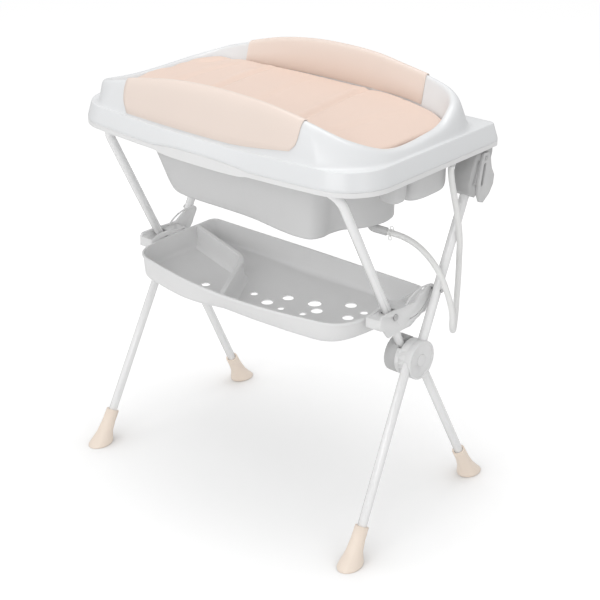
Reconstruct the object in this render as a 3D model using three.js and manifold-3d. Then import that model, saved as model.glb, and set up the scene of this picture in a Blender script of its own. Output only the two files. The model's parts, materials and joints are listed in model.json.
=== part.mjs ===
// Folding baby bath stand with a changing top: two crossed tube frames that turn on a pair of hubs,
// a shelf tray that folds with them, a bath that hangs between the two top bars and a padded
// changing top hinged to the back of the bath. Millimetres, +Z up, +X along the length, -Y to the front.
import * as THREE from 'three'
import { mergeVertices } from 'three/addons/utils/BufferGeometryUtils.js'
import Module from 'manifold-3d'

const wasm = await Module()
wasm.setup()

// ---- driving dimensions -------------------------------------------------------------------------
const gap = 0.3                     // clearance between pieces that touch
const degree = Math.PI / 180
const topHalf = 400                 // half length of the changing top, from which the frames' places follow

// stand: tubes of one size, each frame leaning from the vertical, lower legs set outside the pivot line
const hubHeight = 387
const legLean = 27 * degree
const tubeRadius = 10
const tubeWall = 1.2
const tubeSides = 12
const barReach = 465                // from the pivot to each top bar
const lowerOffset = 30
const frontFrameX = topHalf - 64    // frame whose top is at the front, at the pivot
const rearFrameX = topHalf - 31     // frame whose top is at the rear, at the pivot
const frontBarX = frontFrameX - 10
const rearBarX = rearFrameX - 13
const frontFootX = rearFrameX + 16
const rearFootX = frontFrameX + 23
const bendRadius = 38
const jointInset = 30               // straight run of the upright past its bend, round the bar's spigot
const spigotLength = 26
const spigotWall = 1.1

// hub: an inner drum on the front frame, an outer drum and its cap on the rear frame
const hubRadius = 41
const innerDrumFrom = frontFrameX - 23
const drumSeam = frontFrameX + 4    // plane where the outer drum's skirt meets the inner drum
const drumFace = frontFrameX + 13   // plane where the two drums rub, past the front frame's tubes
const capSeam = rearFrameX - 3
const capFace = rearFrameX + 12.5
const capRadius = 42.5
const skirtWall = 7
const axleRadius = 6
const socketReach = 17              // the uprights stop this far from the pivot
const legStop = 8                   // the lower legs stop this far below their nearest point to it
const buttonRadius = 13
const buttonDepth = 6
const buttonProud = 2.5
const buttonTravel = 3
const faceRecess = 2

// feet
const bootTop = 76
const bootTopRadius = 15
const soleLength = 33               // half of it
const soleWidth = 25
const soleStep = 4.85                  // the sole runs this far past the leg, away from the middle
const legEnd = 14                   // the tube stops this far above the floor

// tray
const trayPivotReach = 124          // from the hub to its bolts, along the front upright
const rimOverBolt = 2.5
const trayDepth = 55
const trayWall = 2.6
const trayLip = 6
const trayBehindBolt = 154.3        // from the bolts to its rear edge
const trayBeforeBolt = 123.7        // from the bolts to its front corners
const trayBow = 25                  // the front edge bows out this far between them
const dividerThick = 4
const plateBesideTube = 2.2         // running clearance between the plate and the front upright
const plateThick = 5.5
const grooveDepth = 3.8             // the plate's groove is cut this deep, in from its outer face
const endHousing = 39.5             // from the tray's straight end to the plate
const deckOverRim = 4.5             // flat top of the tray's end housings
const deckThick = 2.5
const webThick = 4
const boltRadius = 4
const pinReach = 150                // from the hub to the guide pins, along the rear upright
const pinRadius = 1.8
const slotClearance = 0.4
const trayRatio = 2                 // tray turn for each turn of the frames
const foldLimit = 33 * degree

// bath
const rimOverBar = 15               // the rim's top, above the middle of the top bars
const lipDepth = 10.3
const bathDepth = 161.3
const bathWall = 3
const pocketWall = 3
const clipFrom = 150
const clipWidth = 26
const clipWall = 4
const saddleWall = 3

// changing top
const skirtHeight = 36.4            // from its lip to the shelf round the raised ring
const matOverShelf = 33
const matThick = 22
const frontOverBar = 38.4           // the rim's front corners reach this far past the front bar
const rearOverBar = 13.9
const topBow = 17.5
const frontCorner = 105
const rearCorner = 20
const skirtSlope = 10
const shellWall = 3
const ringMiddle = -20              // centre of the raised ring, front to back

// heights and places that follow from these sizes
const barY = barReach * Math.sin(legLean)
const barHeight = hubHeight + barReach * Math.cos(legLean)
const rimTop = barHeight + rimOverBar
const lipBottom = rimTop - lipDepth
const bathFloor = rimTop - bathDepth
const skirtBottom = rimTop + gap
const shelfHeight = skirtBottom + skirtHeight
const matTop = shelfHeight + matOverShelf
const topFront = -barY - frontOverBar
const topRear = barY + rearOverBar
const tubeAtTray = frontFrameX + (frontBarX - frontFrameX) * trayPivotReach / barReach
const plateFrom = tubeAtTray + tubeRadius + plateBesideTube
const plateTo = plateFrom + plateThick
const trayHalf = plateFrom - endHousing

// ---- helpers ------------------------------------------------------------------------------------
const group = new THREE.Group()
const V2 = (x, y) => new THREE.Vector2(x, y)
const V3 = (x, y, z) => new THREE.Vector3(x, y, z)
const mix = (a, b, t) => a + (b - a) * t

function toSolid (geometry) {
  const bare = geometry.clone()
  for (const name of Object.keys(bare.attributes)) if (name !== 'position') bare.deleteAttribute(name)
  const merged = mergeVertices(bare, 1e-4)
  const places = merged.attributes.position.array
  const index = Array.from(merged.index.array)
  const p = [V3(0, 0, 0), V3(0, 0, 0), V3(0, 0, 0)]
  let volume = 0
  for (let i = 0; i < index.length; i += 3) {
    for (let k = 0; k < 3; k++) p[k].fromArray(places, index[i + k] * 3)
    volume += p[0].dot(p[1].clone().cross(p[2]))
  }
  if (volume < 0) index.reverse()
  return new wasm.Manifold(new wasm.Mesh({
    numProp: 3,
    vertProperties: new Float32Array(places),
    triVerts: new Uint32Array(index)
  }))
}

function addPiece (name, solid, look) {
  const mesh = solid.getMesh()
  const geometry = new THREE.BufferGeometry()
  geometry.setAttribute('position', new THREE.BufferAttribute(new Float32Array(mesh.vertProperties), 3))
  geometry.setIndex(new THREE.BufferAttribute(new Uint32Array(mesh.triVerts), 1))
  geometry.computeVertexNormals()
  const piece = new THREE.Mesh(geometry, new THREE.MeshStandardMaterial(look))
  piece.name = name
  group.add(piece)
}

const join = (...solids) => solids.reduce((whole, part) => whole.add(part))

// a solid from rows of points: each row is one outline, and the first and last row are closed off
function loft (rows) {
  const count = rows[0].length
  const places = rows.flat().flatMap(p => [p.x, p.y, p.z])
  const index = []
  const at = (row, i) => row * count + i % count
  for (let row = 0; row < rows.length - 1; row++) {
    for (let i = 0; i < count; i++) {
      index.push(at(row, i), at(row, i + 1), at(row + 1, i + 1))
      index.push(at(row, i), at(row + 1, i + 1), at(row + 1, i))
    }
  }
  for (const row of [0, rows.length - 1]) {
    const outline = rows[row]
    const middle = outline.reduce((sum, p) => sum.add(p), V3(0, 0, 0)).divideScalar(count)
    const hub = places.length / 3
    places.push(middle.x, middle.y, middle.z)
    for (let i = 0; i < count; i++) {
      if (row === 0) index.push(hub, at(row, i + 1), at(row, i))
      else index.push(hub, at(row, i), at(row, i + 1))
    }
  }
  return fromTriangles(places, index)
}

// as loft, with end outlines that are not star-shaped: they are closed by ear clipping
function loftStrip (rows) {
  const count = rows[0].length
  const places = rows.flat().flatMap(p => [p.x, p.y, p.z])
  const index = []
  const at = (row, i) => row * count + i % count
  for (let row = 0; row < rows.length - 1; row++) {
    for (let i = 0; i < count; i++) {
      index.push(at(row, i), at(row, i + 1), at(row + 1, i))
      index.push(at(row, i + 1), at(row + 1, i + 1), at(row + 1, i))
    }
  }
  const last = rows.length - 1
  for (let i = 0; i < count / 2 - 1; i++) {
    const j = count - 1 - i
    index.push(at(0, i), at(0, j), at(0, j - 1), at(0, i), at(0, j - 1), at(0, i + 1))
    index.push(at(last, i), at(last, j - 1), at(last, j), at(last, i), at(last, i + 1), at(last, j - 1))
  }
  return fromTriangles(places, index)
}

function fromTriangles (places, index) {
  const geometry = new THREE.BufferGeometry()
  geometry.setAttribute('position', new THREE.Float32BufferAttribute(places, 3))
  geometry.setIndex(index)
  return toSolid(geometry)
}

// a flat shape drawn in the side view (depth along Y, then height), pushed out along X
function sideExtrude (shape, fromX, toX, curveSegments = 10) {
  const low = Math.min(fromX, toX)
  const geometry = new THREE.ExtrudeGeometry(shape,
    { depth: Math.abs(toX - fromX), bevelEnabled: false, curveSegments })
  geometry.rotateX(Math.PI / 2)
  geometry.rotateZ(Math.PI / 2)
  geometry.translate(low, 0, 0)
  return toSolid(geometry)
}

function upExtrude (shape, fromZ, toZ, curveSegments = 10) {
  const geometry = new THREE.ExtrudeGeometry(shape, { depth: toZ - fromZ, bevelEnabled: false, curveSegments })
  geometry.translate(0, 0, fromZ)
  return toSolid(geometry)
}

function rod (from, to, radius, sides = tubeSides) {
  const run = to.clone().sub(from)
  const geometry = new THREE.CylinderGeometry(radius, radius, run.length(), sides)
  geometry.applyQuaternion(new THREE.Quaternion().setFromUnitVectors(V3(0, 1, 0), run.normalize()))
  const middle = from.clone().lerp(to, 0.5)
  geometry.translate(middle.x, middle.y, middle.z)
  return toSolid(geometry)
}

// a cylinder along X at a place in the side view, mirrored with the side of the object
function crossRod (side, fromX, toX, y, z, radius, sides = 28) {
  return rod(V3(side * fromX, y, z), V3(side * toX, y, z), radius, sides)
}

function box (x0, x1, y0, y1, z0, z1) {
  const geometry = new THREE.BoxGeometry(Math.abs(x1 - x0), Math.abs(y1 - y0), Math.abs(z1 - z0))
  geometry.translate((x0 + x1) / 2, (y0 + y1) / 2, (z0 + z1) / 2)
  return toSolid(geometry)
}

function outline (points) {
  return new THREE.Shape(points.map(([x, y]) => V2(x, y)))
}

// a rod that follows a row of points, its section turned with the path
function bar (points, radius, sides = tubeSides) {
  const heading = points.map((p, i) => {
    const back = points[Math.max(i - 1, 0)]
    const next = points[Math.min(i + 1, points.length - 1)]
    return next.clone().sub(back).normalize()
  })
  let across = Math.abs(heading[0].x) < 0.9 ? V3(1, 0, 0) : V3(0, 1, 0)
  across.addScaledVector(heading[0], -across.dot(heading[0])).normalize()
  const rows = points.map((p, i) => {
    if (i > 0) {
      const turn = new THREE.Quaternion().setFromUnitVectors(heading[i - 1], heading[i])
      across = across.clone().applyQuaternion(turn)
    }
    const other = heading[i].clone().cross(across)
    return Array.from({ length: sides }, (_, k) => {
      const a = 2 * Math.PI * k / sides
      return p.clone().addScaledVector(across, radius * Math.cos(a)).addScaledVector(other, radius * Math.sin(a))
    })
  })
  return loft(rows)
}

function pipe (points, radius, wall, sides = tubeSides) {
  const start = points[0].clone().sub(points[1]).normalize().add(points[0])
  const last = points.length - 1
  const end = points[last].clone().sub(points[last - 1]).normalize().add(points[last])
  return bar(points, radius, sides).subtract(bar([start, ...points, end], radius - wall, sides))
}

// points round a bend of a given radius between two straight runs that meet at a corner
function bend (corner, before, after, radius, steps) {
  const turn = before.angleTo(after)
  const reach = radius * Math.tan(turn / 2)
  const inward = after.clone().addScaledVector(before, -before.dot(after)).normalize()
  const centre = corner.clone().addScaledVector(before, -reach).addScaledVector(inward, radius)
  const points = Array.from({ length: steps + 1 }, (_, k) => {
    const a = turn * k / steps
    return centre.clone().addScaledVector(inward, -radius * Math.cos(a)).addScaledVector(before, radius * Math.sin(a))
  })
  return { points, reach }
}

// ---- sheets drawn on rays from a centre ---------------------------------------------------------
// the distance from (0, centreY) to a closed outline, along a heading
function reachTo (points, centreY, angle) {
  const dx = Math.cos(angle)
  const dy = Math.sin(angle)
  let reach = 0
  for (let i = 0; i < points.length; i++) {
    const a = points[i]
    const b = points[(i + 1) % points.length]
    const ex = b.x - a.x
    const ey = b.y - a.y
    const cross = dx * ey - dy * ex
    if (Math.abs(cross) < 1e-9) continue
    const along = (a.x * ey - (a.y - centreY) * ex) / cross
    const part = (a.x * dy - (a.y - centreY) * dx) / cross
    if (along > 0 && part >= -1e-9 && part <= 1 + 1e-9) reach = Math.max(reach, along)
  }
  return reach
}

// the distance from its middle to a rounded oblong with its own reach to each side
function oblong (angle, right, left, front, back, power) {
  const c = Math.cos(angle)
  const s = Math.sin(angle)
  const a = c > 0 ? right : left
  const b = s > 0 ? back : front
  return (Math.abs(c / a) ** power + Math.abs(s / b) ** power) ** (-1 / power)
}

// a profile of [reach, height] moved sideways by a distance, to the left of its own direction
function shifted (profile, distance) {
  return profile.map(([r, z], i) => {
    const [r0, z0] = profile[Math.max(i - 1, 0)]
    const [r1, z1] = profile[Math.min(i + 1, profile.length - 1)]
    const before = V2(r - r0, z - z0).normalize()
    const after = V2(r1 - r, z1 - z).normalize()
    if (i === 0) before.copy(after)
    if (i === profile.length - 1) after.copy(before)
    const normal = V2(-before.y - after.y, before.x + after.x).normalize()
    const mitre = Math.max(normal.dot(V2(-before.y, before.x)), 0.5)
    return [r + normal.x * distance / mitre, z + normal.y * distance / mitre]
  })
}

function onRay (angle, centreY, [r, z]) {
  return V3(r * Math.cos(angle), centreY + r * Math.sin(angle), z)
}

// a closed solid of a row of profiles, one for each ray, each ending on the middle line at both ends
function raySolid (angles, centreY, profiles, startZ, endZ) {
  const steps = profiles[0].length
  const count = angles.length
  const places = []
  const index = []
  angles.forEach((angle, i) => profiles[i].forEach(p => places.push(...onRay(angle, centreY, p).toArray())))
  const at = (i, k) => (i % count) * steps + k
  for (let i = 0; i < count; i++) {
    for (let k = 0; k < steps - 1; k++) {
      index.push(at(i, k), at(i + 1, k), at(i + 1, k + 1), at(i, k), at(i + 1, k + 1), at(i, k + 1))
    }
  }
  const first = places.length / 3
  places.push(0, centreY, startZ, 0, centreY, endZ)
  for (let i = 0; i < count; i++) {
    index.push(first, at(i + 1, 0), at(i, 0))
    index.push(first + 1, at(i, steps - 1), at(i + 1, steps - 1))
  }
  return fromTriangles(places, index)
}

// a sheet of even thickness: the profile runs from its free edge in to the middle
function raySheet (angles, centreY, profiles, wall) {
  const closed = profiles.map(profile => [...profile.slice().reverse(), ...shifted(profile, wall)])
  const steps = profiles[0].length
  const middle = closed.map(p => p[0][1]).reduce((a, b) => a + b) / closed.length
  const under = closed.map(p => p[2 * steps - 1][1]).reduce((a, b) => a + b) / closed.length
  return raySolid(angles, centreY, closed, middle, under)
}

// ---- looks --------------------------------------------------------------------------------------
const whitePlastic = { color: 0xf4f4f3, roughness: 0.4, metalness: 0 }
const greyPlastic = { color: 0xdadada, roughness: 0.45, metalness: 0 }
const peachPlastic = { color: 0xf6dccb, roughness: 0.4, metalness: 0 }
const whiteSteel = { color: 0xf6f6f6, roughness: 0.3, metalness: 0.1 }
const bareSteel = { color: 0xa8a49a, roughness: 0.35, metalness: 0.9 }
const padFabric = { color: 0xf6ccb8, roughness: 0.8, metalness: 0 }
const softHose = { color: 0xd3d5d5, roughness: 0.5, metalness: 0 }

// ---- crossed tube frames ------------------------------------------------------------------------
// side: -1 left, +1 right; lean: -1 for the frame whose top is at the front, +1 for the other
const sideName = side => side < 0 ? 'left' : 'right'
const frames = [
  { lean: -1, upper: 'front', lower: 'rear', hubX: frontFrameX, barX: frontBarX, footX: rearFootX },
  { lean: 1, upper: 'rear', lower: 'front', hubX: rearFrameX, barX: rearBarX, footX: frontFootX }
]

function uprightPoints ({ lean, hubX, barX }, side) {
  const hub = V3(side * hubX, 0, hubHeight)
  const corner = V3(side * barX, lean * barY, barHeight)
  const up = corner.clone().sub(hub).normalize()
  const inward = V3(-side, 0, 0)
  const { points, reach } = bend(corner, up, inward, bendRadius, 5)
  const start = hub.clone().addScaledVector(up, socketReach)
  const end = corner.clone().addScaledVector(inward, reach + jointInset)
  return { points: [start, ...points, end], up, end, hub }
}

function legPoints ({ lean, hubX, footX }, side) {
  const out = lowerOffset / Math.cos(legLean)
  const level = V3(side * hubX, -lean * out, hubHeight)
  const floor = V3(side * footX, -lean * (out + hubHeight * Math.tan(legLean)), 0)
  const down = floor.clone().sub(level).normalize()
  const start = level.clone().addScaledVector(down, legStop - out * Math.sin(legLean))
  const end = floor.clone().addScaledVector(down, legEnd / down.z)
  return { start, end, floor, down }
}

function crossbar (frame) {
  const half = Math.abs(uprightPoints(frame, 1).end.x) - gap
  const tip = half + spigotLength
  const spigot = tubeRadius - tubeWall - gap
  const bore = spigot - spigotWall
  const inside = tubeRadius - tubeWall
  const profile = [[spigot, -tip], [spigot, -half], [tubeRadius, -half], [tubeRadius, half], [spigot, half],
    [spigot, tip], [bore, tip], [bore, half - 2], [inside, half - 4], [inside, 4 - half], [bore, 2 - half],
    [bore, -tip], [spigot, -tip]]
  const geometry = new THREE.LatheGeometry(profile.map(([r, s]) => V2(r, s)), tubeSides)
  geometry.rotateZ(Math.PI / 2)
  geometry.translate(0, frame.lean * barY, barHeight)
  return toSolid(geometry)
}

// holes through a tube along X, for a bolt or pin at a reach from the hub
function reachPoint (frame, reach) {
  return { y: frame.lean * reach * Math.sin(legLean), z: hubHeight + reach * Math.cos(legLean) }
}

const bolt = reachPoint(frames[0], trayPivotReach)
const pin = reachPoint(frames[1], pinReach)
const trayRim = bolt.z + rimOverBolt
const trayFloor = trayRim - trayDepth

for (const side of [-1, 1]) {
  for (const frame of frames) {
    const upright = uprightPoints(frame, side)
    const hole = frame.lean < 0
      ? crossRod(side, frontFrameX - 40, rearFrameX + 30, bolt.y, bolt.z, boltRadius + gap, 16)
      : crossRod(side, frontFrameX - 40, rearFrameX + 30, pin.y, pin.z, pinRadius + gap, 16)
    addPiece(`${frame.upper}_upright_${sideName(side)}`,
      pipe(upright.points, tubeRadius, tubeWall).subtract(hole), whiteSteel)
    const leg = legPoints(frame, side)
    addPiece(`${frame.lower}_leg_${sideName(side)}`, pipe([leg.start, leg.end], tubeRadius, tubeWall), whiteSteel)
    addPiece(`${frame.lower}_foot_${sideName(side)}`, boot(frame, side), peachPlastic)
  }
}
for (const frame of frames) addPiece(`${frame.upper}_crossbar`, crossbar(frame), whiteSteel)

// a boot that flares from a round cuff on the leg to a long flat sole
function boot (frame, side) {
  const { floor, down } = legPoints(frame, side)
  const outward = -frame.lean
  const across = V3(1, 0, 0).addScaledVector(down, -down.x).normalize()
  const rows = [
    { t: 1, a: bootTopRadius, b: bootTopRadius },
    { t: 0.66, a: bootTopRadius + 0.6, b: bootTopRadius + 1 },
    { t: 0.36, a: bootTopRadius + 3.5, b: bootTopRadius + 5 },
    { t: 0.14, a: soleWidth - 1.5, b: soleLength - 4 },
    { t: 0.04, a: soleWidth, b: soleLength },
    { t: 0, a: soleWidth - 2, b: soleLength - 2 }
  ].map(({ t, a, b }) => {
    const middle = floor.clone().addScaledVector(down, -t * bootTop / Math.cos(legLean))
    middle.y += outward * soleStep * (1 - t)
    const flat = V3(0, outward, 0)
    const square = across.clone().cross(down).multiplyScalar(-1)
    if (square.y * outward < 0) square.negate()
    const lengthwise = flat.lerp(square, t ** 2).normalize()
    const sideways = V3(1, 0, 0).lerp(across, t ** 2).normalize()
    return Array.from({ length: 16 }, (_, k) => {
      const angle = 2 * Math.PI * k / 16
      const c = Math.cos(angle)
      const s = Math.sin(angle)
      return middle.clone().addScaledVector(sideways, a * c).addScaledVector(lengthwise, b * s)
    })
  })
  const cuff = floor.clone().addScaledVector(down, -2 * bootTop)
  const toe = floor.clone().addScaledVector(down, (legEnd - gap) / down.z)
  return loft(rows).subtract(rod(cuff, toe, tubeRadius + gap))
}

// ---- hubs ---------------------------------------------------------------------------------------
// the bores that take the tubes of one frame
function sockets (frame, side) {
  const { hub, up } = uprightPoints(frame, side)
  const { start, down } = legPoints(frame, side)
  const upperFrom = hub.clone().addScaledVector(up, socketReach - gap)
  const upperTo = hub.clone().addScaledVector(up, 3 * capRadius)
  const lowerFrom = start.clone().addScaledVector(down, -gap)
  const lowerTo = start.clone().addScaledVector(down, 3 * capRadius)
  return rod(upperFrom, upperTo, tubeRadius + gap).add(rod(lowerFrom, lowerTo, tubeRadius + gap))
}

// the outer drum's skirt covers the front and the underside and stays clear of the other frame's tubes
const skirtStart = 47 * degree
const skirtEnd = 185 * degree
function skirt (side) {
  const steps = 14
  const at = (k, r) => {
    const a = mix(skirtStart, skirtEnd, k / steps)
    return [-r * Math.sin(a), hubHeight + r * Math.cos(a)]
  }
  const points = Array.from({ length: steps + 1 }, (_, k) => at(k, hubRadius))
  for (let k = steps; k >= 0; k--) points.push(at(k, hubRadius - skirtWall))
  return sideExtrude(outline(points), side * (drumSeam + gap), side * (drumFace + 1))
}

const hubSides = 24
for (const side of [-1, 1]) {
  const disc = (from, to, radius, sides = hubSides) => crossRod(side, from, to, 0, hubHeight, radius, sides)
  const axleBore = disc(innerDrumFrom - 1, capFace, axleRadius + gap, 20)
  addPiece(`hub_inner_drum_${sideName(side)}`,
    join(disc(innerDrumFrom, drumSeam, hubRadius),
      disc(drumSeam - 1, drumFace - gap, hubRadius - skirtWall - gap))
      .subtract(axleBore).subtract(sockets(frames[0], side)), greyPlastic)
  addPiece(`hub_outer_drum_${sideName(side)}`,
    join(disc(drumFace, capSeam - gap, hubRadius), skirt(side))
      .subtract(axleBore).subtract(sockets(frames[1], side)), greyPlastic)
  const nutFrom = capSeam
  const nutTo = capSeam + 5
  addPiece(`hub_cap_${sideName(side)}`,
    disc(capSeam, capFace, capRadius)
      .subtract(disc(capFace - faceRecess, capFace + 1, capRadius - 5, 20))
      .subtract(disc(capFace - faceRecess - buttonDepth, capFace, buttonRadius + gap, 20))
      .subtract(disc(nutFrom - 1, nutTo + gap, axleRadius + 3 + gap, 20))
      .subtract(sockets(frames[1], side)), greyPlastic)
  addPiece(`hub_axle_${sideName(side)}`,
    join(disc(innerDrumFrom - 3, innerDrumFrom - gap, axleRadius + 4, 20),
      disc(innerDrumFrom - 1, nutTo, axleRadius, 20),
      disc(nutFrom, nutTo, axleRadius + 3, 6)), bareSteel)
  const floorX = capFace - faceRecess
  addPiece(`hub_button_${sideName(side)}`,
    disc(floorX - buttonDepth + buttonTravel + gap, floorX + buttonProud, buttonRadius, 20), greyPlastic)
}

// ---- changing top: shared outlines --------------------------------------------------------------
// the plan outline of the top and of the bath's rim, drawn in from the widest line by an inset
function topOutline (inset) {
  const half = topHalf - inset
  const rear = topRear - inset
  const front = topFront + inset
  const cornerFront = frontCorner - inset
  const cornerRear = Math.max(rearCorner - inset, 6)
  const points = []
  const arc = (x, y, radius, from, to, steps) => {
    for (let k = 0; k <= steps; k++) {
      const a = mix(from, to, k / steps) * degree
      points.push(V2(x + radius * Math.cos(a), y + radius * Math.sin(a)))
    }
  }
  arc(half - cornerRear, rear - cornerRear, cornerRear, 0, 90, 2)
  arc(cornerRear - half, rear - cornerRear, cornerRear, 90, 180, 2)
  arc(cornerFront - half, front + cornerFront, cornerFront, 180, 270, 4)
  const flat = half - cornerFront
  for (const part of [-0.6, -0.3, 0, 0.3, 0.6]) {
    points.push(V2(part * flat, front - topBow * (1 - part ** 2)))
  }
  arc(half - cornerFront, front + cornerFront, cornerFront, 270, 360, 4)
  return points
}

// headings of the rays that the sheets are drawn on: every corner point, and an even fan between them
const lipOutline = topOutline(0)
const turned = angle => (angle / degree + 360) % 360
const panelEnds = { front: [221, 319], rear: [38.5, 141.5] }
const corners = [...lipOutline.map(p => turned(Math.atan2(p.y - ringMiddle, p.x))),
  ...panelEnds.front, ...panelEnds.rear]
const fan = Array.from({ length: 36 }, (_, k) => 10 * k)
  .filter(a => corners.every(c => Math.abs(c - a) > 4 && Math.abs(c - a) < 356))
const rays = [...corners, ...fan].sort((a, b) => a - b).map(a => a * degree)

// ---- raised ring --------------------------------------------------------------------------------
// crest heights above the shelf, by heading in degrees from the right-hand end
const crest = [[0, 16], [12, 27], [20, 55], [30, 74], [45, 91], [60, 104], [85, 108], [110, 104], [130, 91],
  [147, 65], [160, 43], [180, 35], [197, 37], [210, 55], [222, 72], [240, 87], [265, 92], [290, 92], [310, 87],
  [323, 72], [335, 42], [347, 18]]
function crestHeight (angle) {
  const turn = (angle / degree + 360) % 360
  const turns = [...crest, [360, crest[0][1]], [360 + crest[1][0], crest[1][1]]]
  const i = turns.findIndex(([a]) => a > turn) - 1
  const before = turns[Math.max(i - 1, 0)]
  const [a0, z0] = turns[i]
  const [a1, z1] = turns[i + 1]
  const after = turns[Math.min(i + 2, turns.length - 1)]
  const t = (turn - a0) / (a1 - a0)
  const slope0 = (z1 - before[1]) / Math.max(a1 - before[0], 1)
  const slope1 = (after[1] - z0) / Math.max(after[0] - a0, 1)
  const span = a1 - a0
  return shelfHeight + z0 * (1 + 2 * t) * (1 - t) ** 2 + slope0 * span * t * (1 - t) ** 2 +
    z1 * t ** 2 * (3 - 2 * t) + slope1 * span * t ** 2 * (t - 1)
}

// the distance to an oblong that lies this far inside the top's right, left, front and rear edges
function insideTop (angle, [right, left, front, rear], power) {
  return oblong(angle, topHalf - right, topHalf - left,
    ringMiddle - topFront - front, topRear - ringMiddle - rear, power)
}

const footInside = [12, 38, -8.5, 17]
const crestInside = [31, 52, 29.5, 45]
const deckInside = [57, 78, 57.5, 73]
const ledge = 7                     // least width of the shelf beside the ring
const ringBatter = 6                // least lean of the ring's outer wall
const ringWidth = 21                // across the top of the ring's wall
const ringPower = angle => (turned(angle) < 90 ? 5 : 4)      // the rear right-hand corner is the squarest
const deckHeight = matTop - matThick - gap
const edgeOutline = topOutline(skirtSlope)
const ringFoot = angle => Math.min(insideTop(angle, footInside, ringPower(angle)),
  reachTo(edgeOutline, ringMiddle, angle) - ledge)
const ringTop = angle => Math.min(insideTop(angle, crestInside, ringPower(angle)),
  ringFoot(angle) - ringBatter)
const ringInside = angle => Math.min(insideTop(angle, deckInside, ringPower(angle)),
  ringTop(angle) - ringWidth - 1)
// the deck falls away at the right-hand end, under the lower end of the pad
const fallRun = 175
const fallDepth = 22
const fallFrom = topHalf - deckInside[0] + 2 - fallRun
const deckFall = x => fallDepth * Math.min(Math.max((x - fallFrom) / fallRun, 0), 1) ** 2

function ringProfile (angle) {
  const foot = ringFoot(angle)
  const top = ringTop(angle)
  const inside = ringInside(angle)
  const z = crestHeight(angle)
  const rise = z - shelfHeight
  const deck = deckHeight - deckFall(inside * Math.cos(angle))
  return {
    outer: [[foot, shelfHeight], [mix(foot, top, 0.35), shelfHeight + 0.4 * rise],
      [mix(foot, top, 0.85), shelfHeight + 0.85 * rise], [top - 4, z - 0.02 * rise]],
    inner: [[top - ringWidth + 4, z - 0.02 * rise], [top - ringWidth, mix(z, deck, 0.15)],
      [inside, deck]]
  }
}

function topProfile (angle) {
  const lip = reachTo(lipOutline, ringMiddle, angle)
  const edge = reachTo(edgeOutline, ringMiddle, angle)
  const { outer, inner } = ringProfile(angle)
  const inside = inner[2][0]
  const middleDeck = deckHeight - deckFall(inside * 0.5 * Math.cos(angle))
  return [[lip, skirtBottom], [lip, skirtBottom + 7], [edge, shelfHeight - 4],
    [edge - 4, shelfHeight], ...outer, ...inner, [inside * 0.5, middleDeck]]
}

const topSheet = raySheet(rays, ringMiddle, rays.map(topProfile), shellWall)

// ---- peach covers on the ring -------------------------------------------------------------------
const coverThick = 2
const coverGap = 0.9
function cover ([from, to], profileOf) {
  const covered = rays.filter(angle => turned(angle) > from - 0.01 && turned(angle) < to + 0.01)
  const rows = covered.map(angle => {
    const path = profileOf(angle)
    const inner = shifted(path, -coverGap)
    const outer = shifted(path, -coverGap - coverThick)
    return [...inner, ...outer.reverse()].map(p => onRay(angle, ringMiddle, p))
  })
  return loftStrip(rows)
}

// the front panel's lower edge climbs the ring's wall towards its right-hand end
const seamClimb = angle => 0.12 + 0.5 * (Math.max(turned(angle) - 285, 0) / 34) ** 2
addPiece('guard_panel_front', cover(panelEnds.front, angle => {
  const { outer, inner } = ringProfile(angle)
  const [foot, low] = outer
  const climb = seamClimb(angle)
  const seam = [mix(foot[0], low[0], climb), mix(foot[1], low[1], climb)]
  return [seam, ...outer.slice(1), inner[0]]
}), peachPlastic)
addPiece('guard_panel_rear', cover(panelEnds.rear, angle => {
  const { outer, inner } = ringProfile(angle)
  const hem = [mix(inner[1][0], inner[2][0], 0.7), mix(inner[1][1], inner[2][1], 0.7)]
  return [outer[3], inner[0], inner[1], hem]
}), peachPlastic)

// ---- changing mat -------------------------------------------------------------------------------
const matClear = 3.5
addPiece('changing_mat', raySolid(rays, ringMiddle, rays.map(angle => {
  const reach = ringInside(angle) - matClear
  const wide = Math.min(reach + 3, ringTop(angle) - ringWidth - 4)
  const fall = r => deckFall(r * Math.cos(angle))
  const low = deckHeight + gap + 0.2
  return [[reach * 0.5, low - fall(reach * 0.5)], [reach - 4, low - fall(reach - 4)],
    [reach, low + 5 - fall(reach)], [wide - 1, matTop - 7 - fall(wide)], [wide - 8, matTop - 1.5 - fall(wide)],
    [reach * 0.55, matTop + 1 - fall(reach * 0.55)]]
}), deckHeight + gap + 0.2, matTop + 2), padFabric)

// ---- bath ---------------------------------------------------------------------------------------
// reach of the bath's inner wall at a height, from the rim's opening (share 0) to the floor (share 1)
const openingInside = [102, 78, 53.5, 97]
const openingPower = 3.2
// the floor's plan is drawn in at the right-hand end, behind the front corner
const floorCurve = new THREE.CatmullRomCurve3([[255, 20], [247, 60], [215, 84], [120, 88], [-120, 88], [-205, 78],
  [-238, 38], [-238, -52], [-214, -104], [-168, -132], [-130, -139], [-50, -140], [40, -140], [125, -152],
  [176, -153], [200, -145], [211, -125], [213, -96], [222, -62], [246, -24]].map(([x, y]) => V3(x, y, 0)), true)
const floorOutline = floorCurve.getPoints(80).slice(0, -1)
function bathReach (angle, share) {
  const open = insideTop(angle, openingInside, openingPower)
  return mix(open, reachTo(floorOutline, ringMiddle, angle), share)
}

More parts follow.
